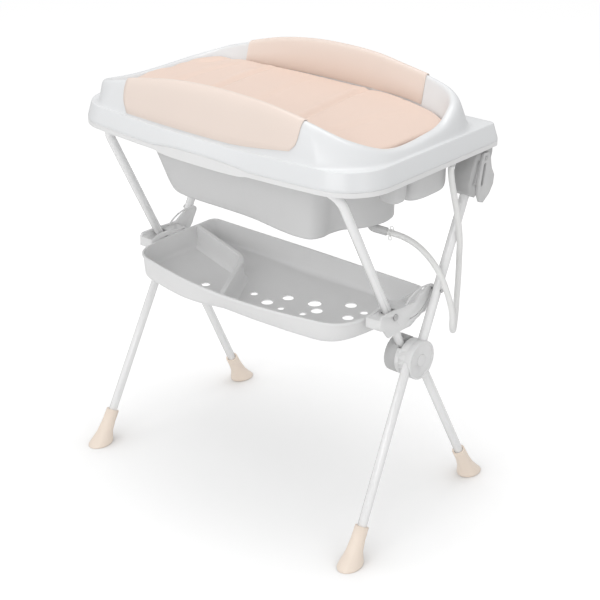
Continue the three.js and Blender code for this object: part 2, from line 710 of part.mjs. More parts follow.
function bathProfile (angle) {
  const lip = reachTo(lipOutline, ringMiddle, angle)
  const open = bathReach(angle, 0)
  const rise = rimTop - bathFloor
  // the floor falls to the drain, at the right-hand end
  const tilt = 8 * (1 - Math.cos(angle)) / 2
  return [[lip, lipBottom], [lip, rimTop - 2], [lip - 2, rimTop], [open + 4, rimTop], [open, rimTop - 4],
    [bathReach(angle, 0.2), rimTop - 0.42 * rise], [bathReach(angle, 0.62), rimTop - 0.84 * rise],
    [bathReach(angle, 1), bathFloor + 7 + tilt], [bathReach(angle, 1) - 14, bathFloor + bathWall + tilt],
    [bathReach(angle, 1) * 0.5, bathFloor + bathWall + tilt * 0.5]]
}

const drain = { x: 226, y: 18, bore: 9, flange: 17 }
const bathSheet = raySheet(rays, ringMiddle, rays.map(bathProfile), bathWall)
const drainHole = rod(V3(drain.x, drain.y, bathFloor - 30), V3(drain.x, drain.y, bathFloor + 30),
  drain.bore + gap, 20)

// two pockets moulded into the rim beside the bath, for soap and a sponge
const pocketX = topHalf - 57
const pockets = [
  { x: pocketX, y: 31, halfX: 27, halfY: 60, floor: rimTop - 74 },
  { x: pocketX, y: -66, halfX: 24, halfY: 20, floor: rimTop - 64 }
]
function pocketRows ({ x, y, halfX, halfY, floor }, grow, top) {
  const rounded = (shrink, z) => Array.from({ length: 16 }, (_, k) => {
    const a = 2 * Math.PI * k / 16
    const r = oblong(a, halfX + grow - shrink, halfX + grow - shrink, halfY + grow - shrink,
      halfY + grow - shrink, 5)
    return V3(x + r * Math.cos(a), y + r * Math.sin(a), z)
  })
  return [rounded(10, floor - grow), rounded(4, floor + 6 - grow), rounded(0, top)]
}
let bathTub = bathSheet.subtract(drainHole)
for (const pocket of pockets) {
  bathTub = bathTub.add(loft(pocketRows(pocket, pocketWall, rimTop - 1)))
    .subtract(loft(pocketRows(pocket, 0, rimTop + 1)))
}

// hinge knuckles behind the rim: the bath carries the outer ones, the changing top the middle ones
const hingeY = topRear + 8
const hingeZ = rimTop - 5.3
const hingeRadius = 6
const hingePin = 2.5
const knuckle = 16
const hingeX = topHalf - 70
function knuckleBlock (side, from, to, top) {
  const barrel = crossRod(side, from, to, hingeY, hingeZ, hingeRadius, 16)
  const web = top
    ? box(side * from, side * to, topRear - 1, hingeY, skirtBottom + 0.5, skirtBottom + 5)
      .add(box(side * from, side * to, hingeY - 3, hingeY + 3, hingeZ + 3, skirtBottom + 5))
    : box(side * from, side * to, topRear - 1, hingeY, lipBottom + 1, lipBottom + 6)
  return barrel.add(web)
    .subtract(crossRod(side, from - 1, to + 1, hingeY, hingeZ, hingePin + gap, 12))
}
const knuckleStart = n => hingeX + n * knuckle + (n > 0 ? gap : 0)
let changerShell = topSheet
for (const side of [-1, 1]) {
  const [first, second, third] = [0, 1, 2].map(knuckleStart)
  const end = hingeX + 3 * knuckle
  bathTub = join(bathTub, knuckleBlock(side, first, hingeX + knuckle, false),
    knuckleBlock(side, third, end - 3, false))
  changerShell = changerShell.add(knuckleBlock(side, second, hingeX + 2 * knuckle, true))
  addPiece(`hinge_pin_${sideName(side)}`,
    crossRod(side, first + 1, end - 4, hingeY, hingeZ, hingePin, 12), bareSteel)
}
addPiece('bath_tub', bathTub, greyPlastic)
addPiece('changer_shell', changerShell, whitePlastic)

// clips that hold the bath on the front bar, and saddles that rest on the rear one
function cradle (frame, from, to, open, outer) {
  const steps = 12
  const inner = tubeRadius + gap
  const at = (k, r) => {
    const a = mix(-open, open, k / steps) * degree
    return [frame.lean * barY + r * Math.sin(a), barHeight + r * Math.cos(a)]
  }
  const points = Array.from({ length: steps + 1 }, (_, k) => at(k, outer))
  for (let k = steps; k >= 0; k--) points.push(at(k, inner))
  const underRim = rimTop - bathWall - gap
  return sideExtrude(outline(points), from, to)
    .subtract(box(from, to, -topHalf, topHalf, underRim, underRim + 20))
}
const clipOpening = 125              // half of the arc that each clip and saddle wraps, in degrees
const saddleOpening = 52
for (const side of [-1, 1]) {
  const [from, to] = [side * clipFrom, side * (clipFrom + clipWidth)]
  const clip = cradle(frames[0], from, to, clipOpening, tubeRadius + clipWall)
  const saddle = cradle(frames[1], from, to, saddleOpening, tubeRadius + saddleWall)
  addPiece(`bath_clip_${sideName(side)}`, clip, greyPlastic)
  addPiece(`bath_saddle_${sideName(side)}`, saddle, greyPlastic)
}

// ---- drain, plug and hose -----------------------------------------------------------------------
const spoutRadius = 9
const spoutWall = 2.4
const spoutHead = V3(drain.x, drain.y, bathFloor - gap)
const spoutCorner = V3(drain.x, drain.y, bathFloor - 15)
const spoutRun = V3(33, 15, -7).normalize()
const spoutBend = bend(spoutCorner, V3(0, 0, -1), spoutRun, 11, 4)
const spoutEnd = spoutCorner.clone().addScaledVector(spoutRun, 36)
addPiece('drain_spout',
  join(rod(spoutHead, V3(drain.x, drain.y, bathFloor - 3.3), drain.flange, 24),
    bar([spoutHead, ...spoutBend.points, spoutEnd], spoutRadius, 12))
    .subtract(bar([V3(drain.x, drain.y, bathFloor + 1), ...spoutBend.points,
      spoutEnd.clone().addScaledVector(spoutRun, 1)], spoutRadius - spoutWall, 12)), greyPlastic)
const plugSeat = bathFloor + bathWall + 2 * gap
addPiece('drain_plug',
  join(rod(V3(drain.x, drain.y, plugSeat), V3(drain.x, drain.y, plugSeat + 3), drain.bore + 6, 24),
    rod(V3(drain.x, drain.y, bathFloor + gap), V3(drain.x, drain.y, plugSeat + 1), drain.bore, 20),
    rod(V3(drain.x, drain.y, plugSeat), V3(drain.x, drain.y, plugSeat + 14), 4.5, 16)), whitePlastic)

// hose: from the spout, out past the rear upright, down in a loop and up to a holder under the rim
const hoseRadius = 6.5
const holder = { x: topHalf - 12, y: 66, bottom: rimTop - 18.3, radius: hoseRadius + 1.7 }
addPiece('hose_holder',
  rod(V3(holder.x, holder.y, holder.bottom), V3(holder.x, holder.y, rimTop - bathWall - gap), holder.radius, 20),
  greyPlastic)
const hoseRoute = [[294, 46, 625], [319, 50, 616], [343, 52, 602], [365, 54, 582], [383, 56, 557], [396, 58.5, 528],
  [405, 61.5, 499], [408, 65, 474], [405.7, 69.3, 452], [398.8, 81.1, 434.2], [388.8, 98.4, 423.8],
  [377.5, 117.8, 422.8], [367, 135.8, 431.4], [359.4, 148.9, 448], [356, 154.8, 470], [355.5, 157, 500],
  [357, 155.5, 530], [361, 149.5, 558], [368, 139, 583], [376, 127, 606], [381, 117, 631], [383.5, 108.5, 658],
  [384.5, 98, 692], [384.5, 86.5, 727], [386.5, 73, 763], [388, 66, 786]]
const hoseStart = spoutEnd.clone().addScaledVector(spoutRun, gap)
const clampPoint = hoseStart.clone().addScaledVector(spoutRun, 8)
const straightEnd = hoseStart.clone().addScaledVector(spoutRun, 16)
const hoseTop = V3(holder.x, holder.y, holder.bottom - gap)
const hosePath = new THREE.CatmullRomCurve3(
  [hoseStart, clampPoint, straightEnd, ...hoseRoute.map(p => V3(...p)), hoseTop], false, 'centripetal')
const hoseSteps = 44
const hoseShape = new THREE.Shape().absarc(0, 0, hoseRadius, 0, 2 * Math.PI)
addPiece('drain_hose', toSolid(new THREE.ExtrudeGeometry(hoseShape,
  { extrudePath: hosePath, steps: hoseSteps, bevelEnabled: false, curveSegments: 4 })), softHose)

// spring clamp of bent wire that squeezes the hose's first stretch
const wire = 0.9
function ringRound (centre, axis, radius, sides) {
  const geometry = new THREE.TorusGeometry(radius, wire, 5, sides)
  geometry.applyQuaternion(new THREE.Quaternion().setFromUnitVectors(V3(0, 0, 1), axis))
  geometry.translate(centre.x, centre.y, centre.z)
  return toSolid(geometry)
}
const clampRadius = hoseRadius + wire + gap
const earAt = (y, z) => clampPoint.clone().add(V3(0, y, z).addScaledVector(spoutRun, -V3(0, y, z).dot(spoutRun)))
addPiece('hose_clamp',
  join(ringRound(clampPoint, spoutRun, clampRadius, 20),
    ringRound(earAt(-2, clampRadius + 4), V3(0, 1, 0), 4.4, 12),
    ringRound(earAt(-2, -clampRadius - 4), V3(0, 1, 0), 4.4, 12)), bareSteel)

// ---- tray ---------------------------------------------------------------------------------------
const trayRear = bolt.y + trayBehindBolt
const trayFront = bolt.y - trayBeforeBolt
const trayMiddle = bolt.y + 16.3    // where the rays of the tray's sheet start, front to back
const trayShape = new THREE.Shape()
trayShape.moveTo(-trayHalf + 18, trayRear)
trayShape.lineTo(trayHalf - 18, trayRear)
trayShape.quadraticCurveTo(trayHalf, trayRear, trayHalf, trayRear - 20)
trayShape.lineTo(trayHalf, trayMiddle)
trayShape.bezierCurveTo(trayHalf - 4, trayFront + 60, trayHalf - 28, trayFront + 28, trayHalf - 91, trayFront + 3)
trayShape.quadraticCurveTo(110, trayFront - trayBow, 0, trayFront - trayBow)
trayShape.quadraticCurveTo(-110, trayFront - trayBow, 91 - trayHalf, trayFront + 3)
trayShape.bezierCurveTo(28 - trayHalf, trayFront + 28, 4 - trayHalf, trayFront + 60, -trayHalf, trayMiddle)
trayShape.lineTo(-trayHalf, trayRear - 20)
trayShape.quadraticCurveTo(-trayHalf, trayRear, 18 - trayHalf, trayRear)
const trayOutline = trayShape.getPoints(4)
const trayRays = trayOutline.slice(0, -1).map(p => Math.atan2(p.y - trayMiddle, p.x))
  .concat([80, 70, 60, 100, 110, 120, 4, 12, 168, 176].map(a => a * degree))
  .map(a => (a + 2 * Math.PI) % (2 * Math.PI))
  .sort((a, b) => a - b)
  .filter((a, i, all) => i === 0 || a - all[i - 1] > 1.5 * degree)
function trayProfile (angle) {
  const rim = reachTo(trayOutline, trayMiddle, angle)
  // the front wall is upright at the left-hand end and leans out towards the right
  const share = Math.min(Math.max((Math.cos(angle) + 0.75) / 0.7, 0), 1)
  const lean = mix(3, 30, share * share * (3 - 2 * share))
  const inset = mix(14, lean, Math.min(Math.max(-1.4 * Math.sin(angle), 0), 1))
  const floor = trayFloor + trayWall
  return [[rim + trayLip, trayRim - 6], [rim + trayLip, trayRim], [rim, trayRim], [rim - inset * 0.5, floor + 18],
    [rim - inset, floor + 5], [rim - inset - 6, floor], [(rim - inset) * 0.5, floor]]
}
const trayProfiles = trayRays.map(trayProfile)
const trayFilled = raySolid(trayRays, trayMiddle,
  trayProfiles.map(profile => shifted(profile, trayWall / 2).slice(2)), trayRim - 1, trayFloor + trayWall / 2)

// low walls that fence off the left-hand compartment
function divider (a, b) {
  const run = V2(b.x - a.x, b.y - a.y)
  const normal = V2(-run.y, run.x).normalize().multiplyScalar(dividerThick / 2)
  const shape = outline([[a.x + normal.x, a.y + normal.y], [b.x + normal.x, b.y + normal.y],
    [b.x - normal.x, b.y - normal.y], [a.x - normal.x, a.y - normal.y]])
  return upExtrude(shape, trayFloor + trayWall / 2, trayRim - 1)
}
const dividerCorner = V2(-97, trayMiddle + 13)
const dividers = join(divider(V2(-trayHalf - 14, trayMiddle + 85), dividerCorner),
  divider(dividerCorner, V2(10, trayFront - trayBow - 10)),
  rod(V3(dividerCorner.x, dividerCorner.y, trayFloor + trayWall / 2),
    V3(dividerCorner.x, dividerCorner.y, trayRim - 1), dividerThick / 2, 12))
  .intersect(trayFilled)

// drain holes in the tray's floor: along, behind the middle line of its rays, and radius
const trayHoles = [[-137, -71, 9], [-20, -38, 7], [32, -52, 12], [51, -5, 12], [76, -64, 6], [116, 12, 14],
  [146, -26, 11], [112, -48, 6], [182, 52, 12], [208, -8, 12], [232, 42, 9], [92, 62, 7], [20, 52, 9], [150, 84, 6]]
let traySolid = raySheet(trayRays, trayMiddle, trayProfiles, trayWall).add(dividers)
for (const [x, y, radius] of trayHoles) {
  const place = z => V3(x, trayMiddle + y, z)
  traySolid = traySolid.subtract(rod(place(trayFloor - 5), place(trayFloor + 8), radius, 10))
}
addPiece('tray', traySolid, greyPlastic)

// where the guide pin lies in the tray's own frame as the stand folds: the slot is cut along that line
function pinPath (steps) {
  return Array.from({ length: steps + 1 }, (_, k) => {
    const fold = mix(0, foldLimit, k / steps)
    const lean = legLean - fold
    const y = pinReach * Math.sin(lean) - bolt.y
    const z = hubHeight + pinReach * Math.cos(lean) - bolt.z
    const turn = trayRatio * fold
    return V2(bolt.y + y * Math.cos(turn) + z * Math.sin(turn),
      bolt.z - y * Math.sin(turn) + z * Math.cos(turn))
  })
}

function slotShape (path, halfWidth) {
  const left = []
  const right = []
  path.forEach((p, i) => {
    const run = path[Math.min(i + 1, path.length - 1)].clone().sub(path[Math.max(i - 1, 0)]).normalize()
    const normal = V2(-run.y, run.x).multiplyScalar(halfWidth)
    left.push([p.x + normal.x, p.y + normal.y])
    right.unshift([p.x - normal.x, p.y - normal.y])
  })
  const cap = (p, from) => Array.from({ length: 5 }, (_, k) => {
    const a = from - Math.PI * (k + 1) / 6
    return [p.x + halfWidth * Math.cos(a), p.y + halfWidth * Math.sin(a)]
  })
  const endRun = path[path.length - 1].clone().sub(path[path.length - 2])
  const startRun = path[0].clone().sub(path[1])
  return outline([...left, ...cap(path[path.length - 1], Math.atan2(endRun.y, endRun.x) + Math.PI / 2),
    ...right, ...cap(path[0], Math.atan2(startRun.y, startRun.x) + Math.PI / 2)])
}

// end brackets of the tray: an inner cheek, two webs either side of the upright's swing, a slotted plate
const cheekFrom = trayHalf + trayLip + gap
const cheekTo = frontFrameX - tubeRadius - 7
const deckTop = trayRim + deckOverRim
const grooveFloor = plateTo - grooveDepth
const grooveRim = 9                 // half width of the plate's material along the groove
const housing = { front: bolt.y - 47.7, rear: bolt.y + 62.3, frontLow: bolt.z - 15.5, rearLow: bolt.z - 31.5 }
const swing = { front: bolt.y - 15.5, rear: bolt.y + 18.9, side: tubeRadius + 1.4 }   // room for the upright
const slotPath = pinPath(8)
const fromBolt = points => outline(points.map(([y, z]) => [bolt.y + y, bolt.z + z]))
for (const side of [-1, 1]) {
  const acrossHousing = (y0, y1, z0, z1) => box(side * cheekFrom, side * (plateFrom + 1), y0, y1, z0, z1)
  const plate = sideExtrude(fromBolt([[-19.7, -40.5], [26.3, -38.5], [53.3, -39.5], [68.3, -33.5], [80.3, -23.5],
    [103.3, -23.5], [118.3, -7.5], [128.3, 16.5], [116.3, 32.5], [86.3, 22.5], [66.3, 10.5], [36.3, 11.5],
    [-3.7, 14.5], [-41.7, 14.5], [-47.7, 7.5], [-47.7, -15.5], [-35.7, -19.5]]), side * plateFrom, side * plateTo)
    .add(sideExtrude(slotShape(slotPath, grooveRim), side * plateFrom, side * plateTo))
    .subtract(sideExtrude(slotShape(slotPath, pinRadius + slotClearance),
      side * grooveFloor, side * (plateTo + 1)))
  const frontWeb = acrossHousing(housing.front, housing.front + webThick, housing.frontLow, deckTop)
  const rearWeb = acrossHousing(housing.rear - webThick, housing.rear, housing.rearLow, deckTop)
  const deck = acrossHousing(housing.front, housing.rear, deckTop - deckThick, deckTop)
    .subtract(box(side * (tubeAtTray - swing.side), side * (tubeAtTray + swing.side), swing.front, swing.rear,
      deckTop - deckThick - 1, deckTop + 1))
  const cheek = sideExtrude(fromBolt([[-47.7, -15.5], [-13.7, -31.5], [16.3, -31.5], [62.3, -31.5], [62.3, 0.5],
    [16.3, 12.5], [-13.7, 12.5], [-47.7, 6.5]]), side * cheekFrom, side * cheekTo)
  addPiece(`tray_bracket_${sideName(side)}`,
    join(plate, frontWeb, rearWeb, deck, cheek)
      .subtract(crossRod(side, cheekFrom - 1, plateTo + 1, bolt.y, bolt.z, boltRadius + gap, 16)), greyPlastic)
  addPiece(`tray_bolt_${sideName(side)}`,
    join(crossRod(side, cheekFrom + 1, plateTo + 1, bolt.y, bolt.z, boltRadius, 16),
      crossRod(side, plateTo + gap, plateTo + 3.5, bolt.y, bolt.z, boltRadius + 3, 16)), bareSteel)
  const outX = mix(rearFrameX, rearBarX, pinReach / barReach) + tubeRadius
  addPiece(`guide_pin_${sideName(side)}`,
    join(crossRod(side, grooveFloor + gap, outX + 2, pin.y, pin.z, pinRadius, 12),
      crossRod(side, outX + 2 * gap, outX + 3.5, pin.y, pin.z, pinRadius + 2.4, 12)), bareSteel)
}

// ---- catches at the rear corners ----------------------------------------------------------------
const catchFrom = rearBarX - 14
const catchTo = rearBarX + 27
const leverThick = 6.5
const leverFrom = catchTo + gap
const leverTo = leverFrom + leverThick
const leverPin = 4
const recessDepth = 3
const fromBar = ([y, z]) => V2(barY + y, barHeight + z)
const besideBar = points => new THREE.Shape(points.map(fromBar))
const leverPivot = fromBar([-23.1, -18.3])
const capsule = (from, to, radius) => slotShape([fromBar(from), fromBar(to)], radius)
for (const side of [-1, 1]) {
  const { points } = uprightPoints(frames[1], side)
  const body = sideExtrude(besideBar([[-71, -85], [-51, -99], [-27, -85], [-11, -57], [3, -33], [9, -13], [8, 1.7],
    [-35, 1.7], [-53, -11], [-65, -37], [-73, -63]]), side * catchFrom, side * catchTo)
  const recess = sideExtrude(capsule([-41, -25], [-54, -63], 5),
    side * (catchTo - recessDepth), side * (catchTo + 1))
  const pivot = crossRod(side, catchTo - 1, leverTo + 1.5, leverPivot.x, leverPivot.y, leverPin, 16)
  addPiece(`rear_catch_${sideName(side)}`,
    body.subtract(bar(points, tubeRadius + gap)).subtract(recess).add(pivot), greyPlastic)
  const leaf = sideExtrude(besideBar([[-31, -7], [-13, -7], [-5, -23], [0, -45], [11, -63], [8, -83], [-5, -101],
    [-27, -115], [-39, -111], [-47, -93], [-45, -63], [-39, -31]]), side * leverFrom, side * leverTo)
  addPiece(`latch_lever_${sideName(side)}`,
    leaf.subtract(crossRod(side, leverFrom - 1, leverTo + 1, leverPivot.x, leverPivot.y, leverPin + gap, 16))
      .subtract(sideExtrude(capsule([-25, -33], [-33, -73], 4.5),
        side * (leverFrom - 1), side * (leverTo + 1))),
    greyPlastic)
}

export default group
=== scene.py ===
# Folding baby bath stand with a padded changing top: the finish of every piece, the pad and the hose.
import json
import math
import bpy
from mathutils import Euler, Matrix, Vector

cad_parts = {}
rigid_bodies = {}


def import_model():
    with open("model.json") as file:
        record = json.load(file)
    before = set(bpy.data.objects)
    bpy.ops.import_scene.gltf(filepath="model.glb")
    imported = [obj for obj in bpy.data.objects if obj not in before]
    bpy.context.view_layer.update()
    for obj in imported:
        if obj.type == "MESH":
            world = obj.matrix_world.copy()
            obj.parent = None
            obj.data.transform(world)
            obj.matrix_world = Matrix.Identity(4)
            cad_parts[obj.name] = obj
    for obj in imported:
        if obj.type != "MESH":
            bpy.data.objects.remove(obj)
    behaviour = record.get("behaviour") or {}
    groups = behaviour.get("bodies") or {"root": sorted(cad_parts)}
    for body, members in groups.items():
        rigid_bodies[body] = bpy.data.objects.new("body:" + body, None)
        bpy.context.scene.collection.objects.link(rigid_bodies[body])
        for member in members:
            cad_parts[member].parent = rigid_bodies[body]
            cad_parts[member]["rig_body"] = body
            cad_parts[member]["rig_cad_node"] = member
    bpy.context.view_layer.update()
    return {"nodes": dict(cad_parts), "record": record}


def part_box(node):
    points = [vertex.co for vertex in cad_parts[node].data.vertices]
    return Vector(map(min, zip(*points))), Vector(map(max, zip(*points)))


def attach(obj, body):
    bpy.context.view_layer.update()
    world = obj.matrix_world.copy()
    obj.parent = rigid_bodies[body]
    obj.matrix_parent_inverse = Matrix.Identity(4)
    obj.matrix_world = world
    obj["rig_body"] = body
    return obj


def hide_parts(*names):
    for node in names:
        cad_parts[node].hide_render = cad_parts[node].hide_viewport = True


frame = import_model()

scene = bpy.context.scene
record = frame["record"]
nodes = frame["nodes"]
bodyOf = {node: body for body, members in record["behaviour"]["bodies"].items() for node in members}
slotOf = {part["node"]: part["material_slot"] for part in record["subparts"]}
mm = 0.001


# the camera comes first, so that the hose can be judged against the view
view = {"place": (1.9236, -2.1622, 1.7480), "turn": 40.97, "down": 24.8, "roll": -0.17, "lens": 85.7}
aim = Euler((math.radians(90 - view["down"]), 0, math.radians(view["turn"]))).to_matrix()
aim = aim @ Matrix.Rotation(math.radians(view["roll"]), 3, "Z")
camera = bpy.data.objects.new("camera", bpy.data.cameras.new("camera"))
scene.collection.objects.link(camera)
camera.matrix_world = Matrix.Translation(view["place"]) @ aim.to_4x4()
camera.data.lens = view["lens"]
camera.data.sensor_width = 36
camera.data.clip_end = 60
scene.camera = camera
scene.view_settings.view_transform = "Standard"


def only(piece):
    bpy.ops.object.select_all(action="DESELECT")
    piece.select_set(True)
    bpy.context.view_layer.objects.active = piece


class Reading:
    # a socket that can be used in sums
    def __init__(self, finish, socket):
        self.finish = finish
        self.socket = socket

    def maths(self, operation, first, second):
        node = self.finish.add("ShaderNodeMath", {"operation": operation}, {0: first, 1: second})
        return Reading(self.finish, node.outputs[0])

    def __add__(self, other):
        return self.maths("ADD", self, other)

    __radd__ = __add__

    def __mul__(self, other):
        return self.maths("MULTIPLY", self, other)

    __rmul__ = __mul__


class Finish:
    # one material and the nodes in it
    def __init__(self, name):
        self.material = bpy.data.materials.new(name)
        self.material.use_nodes = True
        self.tree = self.material.node_tree
        self.tree.nodes.clear()
        self.end = self.add("ShaderNodeOutputMaterial", {}, {})

    def add(self, kind, settings, feeds):
        node = self.tree.nodes.new(kind)
        for name, value in settings.items():
            setattr(node, name, value)
        for name, value in feeds.items():
            self.feed(node.inputs[name], value)
        return node

    def feed(self, socket, value):
        if isinstance(value, Reading):
            self.tree.links.new(value.socket, socket)
        elif isinstance(value, bpy.types.NodeSocket):
            self.tree.links.new(value, socket)
        else:
            socket.default_value = value

    def place(self, stretch=(1, 1, 1)):
        spot = self.add("ShaderNodeTexCoord", {}, {}).outputs["Object"]
        if stretch == (1, 1, 1):
            return spot
        return self.add("ShaderNodeMapping", {}, {"Vector": spot, "Scale": stretch}).outputs[0]

    def noise(self, scale, detail=2.0, roughness=0.5, stretch=(1, 1, 1)):
        feeds = {"Vector": self.place(stretch), "Scale": scale, "Detail": detail, "Roughness": roughness}
        return Reading(self, self.add("ShaderNodeTexNoise", {}, feeds).outputs["Fac"])

    def blendColour(self, share, first, second):
        feeds = {"Factor": share, 6: (*first, 1), 7: (*second, 1)}
        node = self.add("ShaderNodeMix", {"data_type": "RGBA"}, feeds)
        return node.outputs[2]

    def bump(self, height, distance, strength=1.0, over=None):
        feeds = {"Height": height, "Distance": distance, "Strength": strength}
        if over is not None:
            feeds["Normal"] = over
        return self.add("ShaderNodeBump", {}, feeds).outputs[0]

    def shade(self, feeds):
        skin = self.add("ShaderNodeBsdfPrincipled", {}, feeds)
        self.feed(self.end.inputs["Surface"], skin.outputs[0])
        return self.material


def shades(colour, spread):
    return tuple(c * (1 - spread) for c in colour), tuple(min(c * (1 + spread), 1) for c in colour)


def mouldedPlastic(name, colour, gloss, grain=1400, grainDepth=0.00002, coat=0.0):
    # moulded plastic: fine spark grain, slow flow waviness, faint handling marks in the gloss
    paint = Finish(name)
    flow = paint.noise(9, 2)
    pores = paint.noise(grain, 2, 0.6)
    marks = paint.noise(38, 4, 0.7, (1, 2.4, 1))
    dark, light = shades(colour, 0.018)
    surface = paint.bump(pores, grainDepth, 0.9, over=paint.bump(flow, 0.00012))
    return paint.shade({
        "Base Color": paint.blendColour(flow, dark, light),
        "Roughness": gloss - 0.05 + 0.1 * marks,
        "Normal": surface, "IOR": 1.5, "Coat Weight": coat, "Coat Roughness": 0.12,
    })


def powderCoat(name, colour):
    # powder coat on steel tube: orange peel under a soft gloss
    paint = Finish(name)
    peel = paint.noise(520, 2, 0.55)
    cloud = paint.noise(14, 3)
    dark, light = shades(colour, 0.012)
    return paint.shade({
        "Base Color": paint.blendColour(cloud, dark, light),
        "Roughness": 0.2 + 0.08 * cloud,
        "Normal": paint.bump(peel, 0.00006), "IOR": 1.5, "Coat Weight": 0.6, "Coat Roughness": 0.06,
    })


def padVinyl(name, colour):
    # wipe-clean vinyl: leather-like pores, a shallow drift of wrinkles and slightly worn gloss
    paint = Finish(name)
    feeds = {"Vector": paint.place(), "Scale": 900.0, "Randomness": 1.0}
    pores = Reading(paint, paint.add("ShaderNodeTexVoronoi", {}, feeds).outputs["Distance"])
    folds = paint.noise(26, 3, 0.55, (1, 0.45, 1))
    cloud = paint.noise(5, 2)
    dark, light = shades(colour, 0.02)
    surface = paint.bump(pores, 0.00005, 0.8, over=paint.bump(folds, 0.0009))
    return paint.shade({
        "Base Color": paint.blendColour(cloud, dark, light),
        "Roughness": 0.46 + 0.1 * folds,
        "Normal": surface, "IOR": 1.48, "Sheen Weight": 0.12, "Sheen Roughness": 0.4,
    })


def steelFinish(name, colour):
    # zinc plated steel with turning marks
    paint = Finish(name)
    marks = paint.noise(260, 3, 0.6, (6, 1, 1))
    dark, light = shades(colour, 0.1)
    return paint.shade({
        "Base Color": paint.blendColour(marks, dark, light),
        "Metallic": 1.0, "Roughness": 0.26 + 0.14 * marks,
        "Normal": paint.bump(marks, 0.00003),
    })


def rubberFinish(name, colour):
    paint = Finish(name)
    bloom = paint.noise(60, 4, 0.6)
    pores = paint.noise(1100, 2)
    dark, light = shades(colour, 0.05)
    return paint.shade({
        "Base Color": paint.blendColour(bloom, dark, light),
        "Roughness": 0.62 + 0.12 * bloom, "Normal": paint.bump(pores, 0.00004), "IOR": 1.5,
    })


def hoseFinish(name, colour):
    # soft extruded hose: slightly see-through white with drag lines along its length
    paint = Finish(name)
    milky = paint.noise(30, 2)
    drag = paint.noise(900, 2)
    dark, light = shades(colour, 0.02)
    return paint.shade({
        "Base Color": paint.blendColour(milky, dark, light),
        "Roughness": 0.34 + 0.1 * milky, "Normal": paint.bump(drag, 0.00003),
        "IOR": 1.46, "Subsurface Weight": 0.15, "Subsurface Radius": (0.004, 0.004, 0.004),
    })


white = (0.765, 0.775, 0.785)
grey = (0.635, 0.635, 0.635)
peach = (0.80, 0.685, 0.615)
finishes = {
    "white_plastic": mouldedPlastic("satinWhite", white, 0.3, coat=0.2),
    "peach_plastic": mouldedPlastic("satinPeach", peach, 0.38),
    "pad_cover": padVinyl("peachVinyl", (0.795, 0.625, 0.535)),
    "white_tube": powderCoat("whitePowderCoat", (0.89, 0.89, 0.89)),
    "grey_plastic": mouldedPlastic("softGrey", grey, 0.42, grain=1100, grainDepth=0.00003),
    "hose_plastic": hoseFinish("milkyHose", (0.85, 0.85, 0.84)),
    # the same mouldings in lit and shaded copies: paler as painted light on the shelf, brackets, buttons, outer
    # hubs and the rim's flange; darker on the inner hubs, a darker grey that is also painted shade, and on the
    # rear catches; paler (painted light) and creamier on the feet
    "lit_grey_plastic": mouldedPlastic("paintedLightGrey", (0.80, 0.80, 0.80), 0.4, grain=1100, grainDepth=0.00003),
    "dark_and_shaded_plastic": mouldedPlastic("darkAndShadedGrey", (0.52, 0.52, 0.52), 0.42, grain=1100, grainDepth=0.00003),
    "lit_cream_peach": mouldedPlastic("litCreamPeach", (0.91, 0.79, 0.68), 0.36),
    "stopper": rubberFinish("stopperRubber", (0.50, 0.50, 0.50)),
    "bright_steel": steelFinish("platedSteel", (0.60, 0.60, 0.60)),
}
print("finishes ready")


# light and floor
def lamp(name, place, aimAt, size, power):
    light = bpy.data.lights.new(name, "AREA")
    light.shape = "RECTANGLE"
    light.size, light.size_y = size
    light.energy = power
    holder = bpy.data.objects.new(name, light)
    scene.collection.objects.link(holder)
    holder.location = place
    holder.rotation_euler = (Vector(aimAt) - Vector(place)).to_track_quat("-Z", "Y").to_euler()


lamps = {
    "softboxAbove": ((-0.1, 0.1, 3.2), (0, 0, 0.6), (1.9, 1.5), 24),
    "softboxLeft": ((-2.6, -2.4, 1.7), (0, 0, 0.6), (2.2, 2.2), 6),
    "softboxRight": ((2.8, -1.0, 1.1), (0, 0, 0.6), (1.2, 1.6), 5),
    "softboxFront": ((0.7, -2.8, 1.9), (0, 0, 0.45), (2.2, 1.4), 22),
}
for name, (place, aimAt, size, power) in lamps.items():
    lamp(name, place, aimAt, size, power)

skyLight = 0.66
world = bpy.data.worlds.new("studio")
scene.world = world
world.use_nodes = True
sky = world.node_tree
lightPath = sky.nodes.new("ShaderNodeLightPath")
level = sky.nodes.new("ShaderNodeMapRange")
level.inputs["To Min"].default_value = skyLight
level.inputs["To Max"].default_value = 1.0
sky.links.new(lightPath.outputs["Is Camera Ray"], level.inputs["Value"])
sky.nodes["Background"].inputs[0].default_value = (1, 1, 1, 1)
sky.links.new(level.outputs[0], sky.nodes["Background"].inputs[1])

bpy.ops.object.select_all(action="DESELECT")
bpy.ops.mesh.primitive_plane_add(size=40, location=(0, 0, 0))
floor = bpy.context.object
floor.name = "floor"
ground = Finish("paleFloor")
seen = Reading(ground, ground.add("ShaderNodeLightPath", {}, {}).outputs["Is Camera Ray"])
openness = ground.add("ShaderNodeAmbientOcclusion", {"samples": 16}, {"Distance": 1.1}).outputs["AO"]
near = Reading(ground, openness)
base = ground.add("ShaderNodeBsdfDiffuse", {}, {"Color": (0.86, 0.86, 0.86, 1)})
# lifted towards white for the camera only, and lifted less where ambient occlusion finds the object close,
# which paints a darker shadow under it
paintedShadowLift = seen * near * near * near * 0.40
lift = ground.add("ShaderNodeEmission", {}, {"Color": (1, 1, 1, 1), "Strength": paintedShadowLift})
both = ground.add("ShaderNodeAddShader", {}, {0: base.outputs[0], 1: lift.outputs[0]})
ground.feed(ground.end.inputs["Surface"], both.outputs[0])
floor.data.materials.append(ground.material)
print("camera, light and floor ready")


def change(piece, kind, **settings):
    only(piece)
    modifier = piece.modifiers.new(kind.title(), kind)
    for name, value in settings.items():
        setattr(modifier, name, value)
    bpy.ops.object.modifier_apply(modifier=modifier.name)


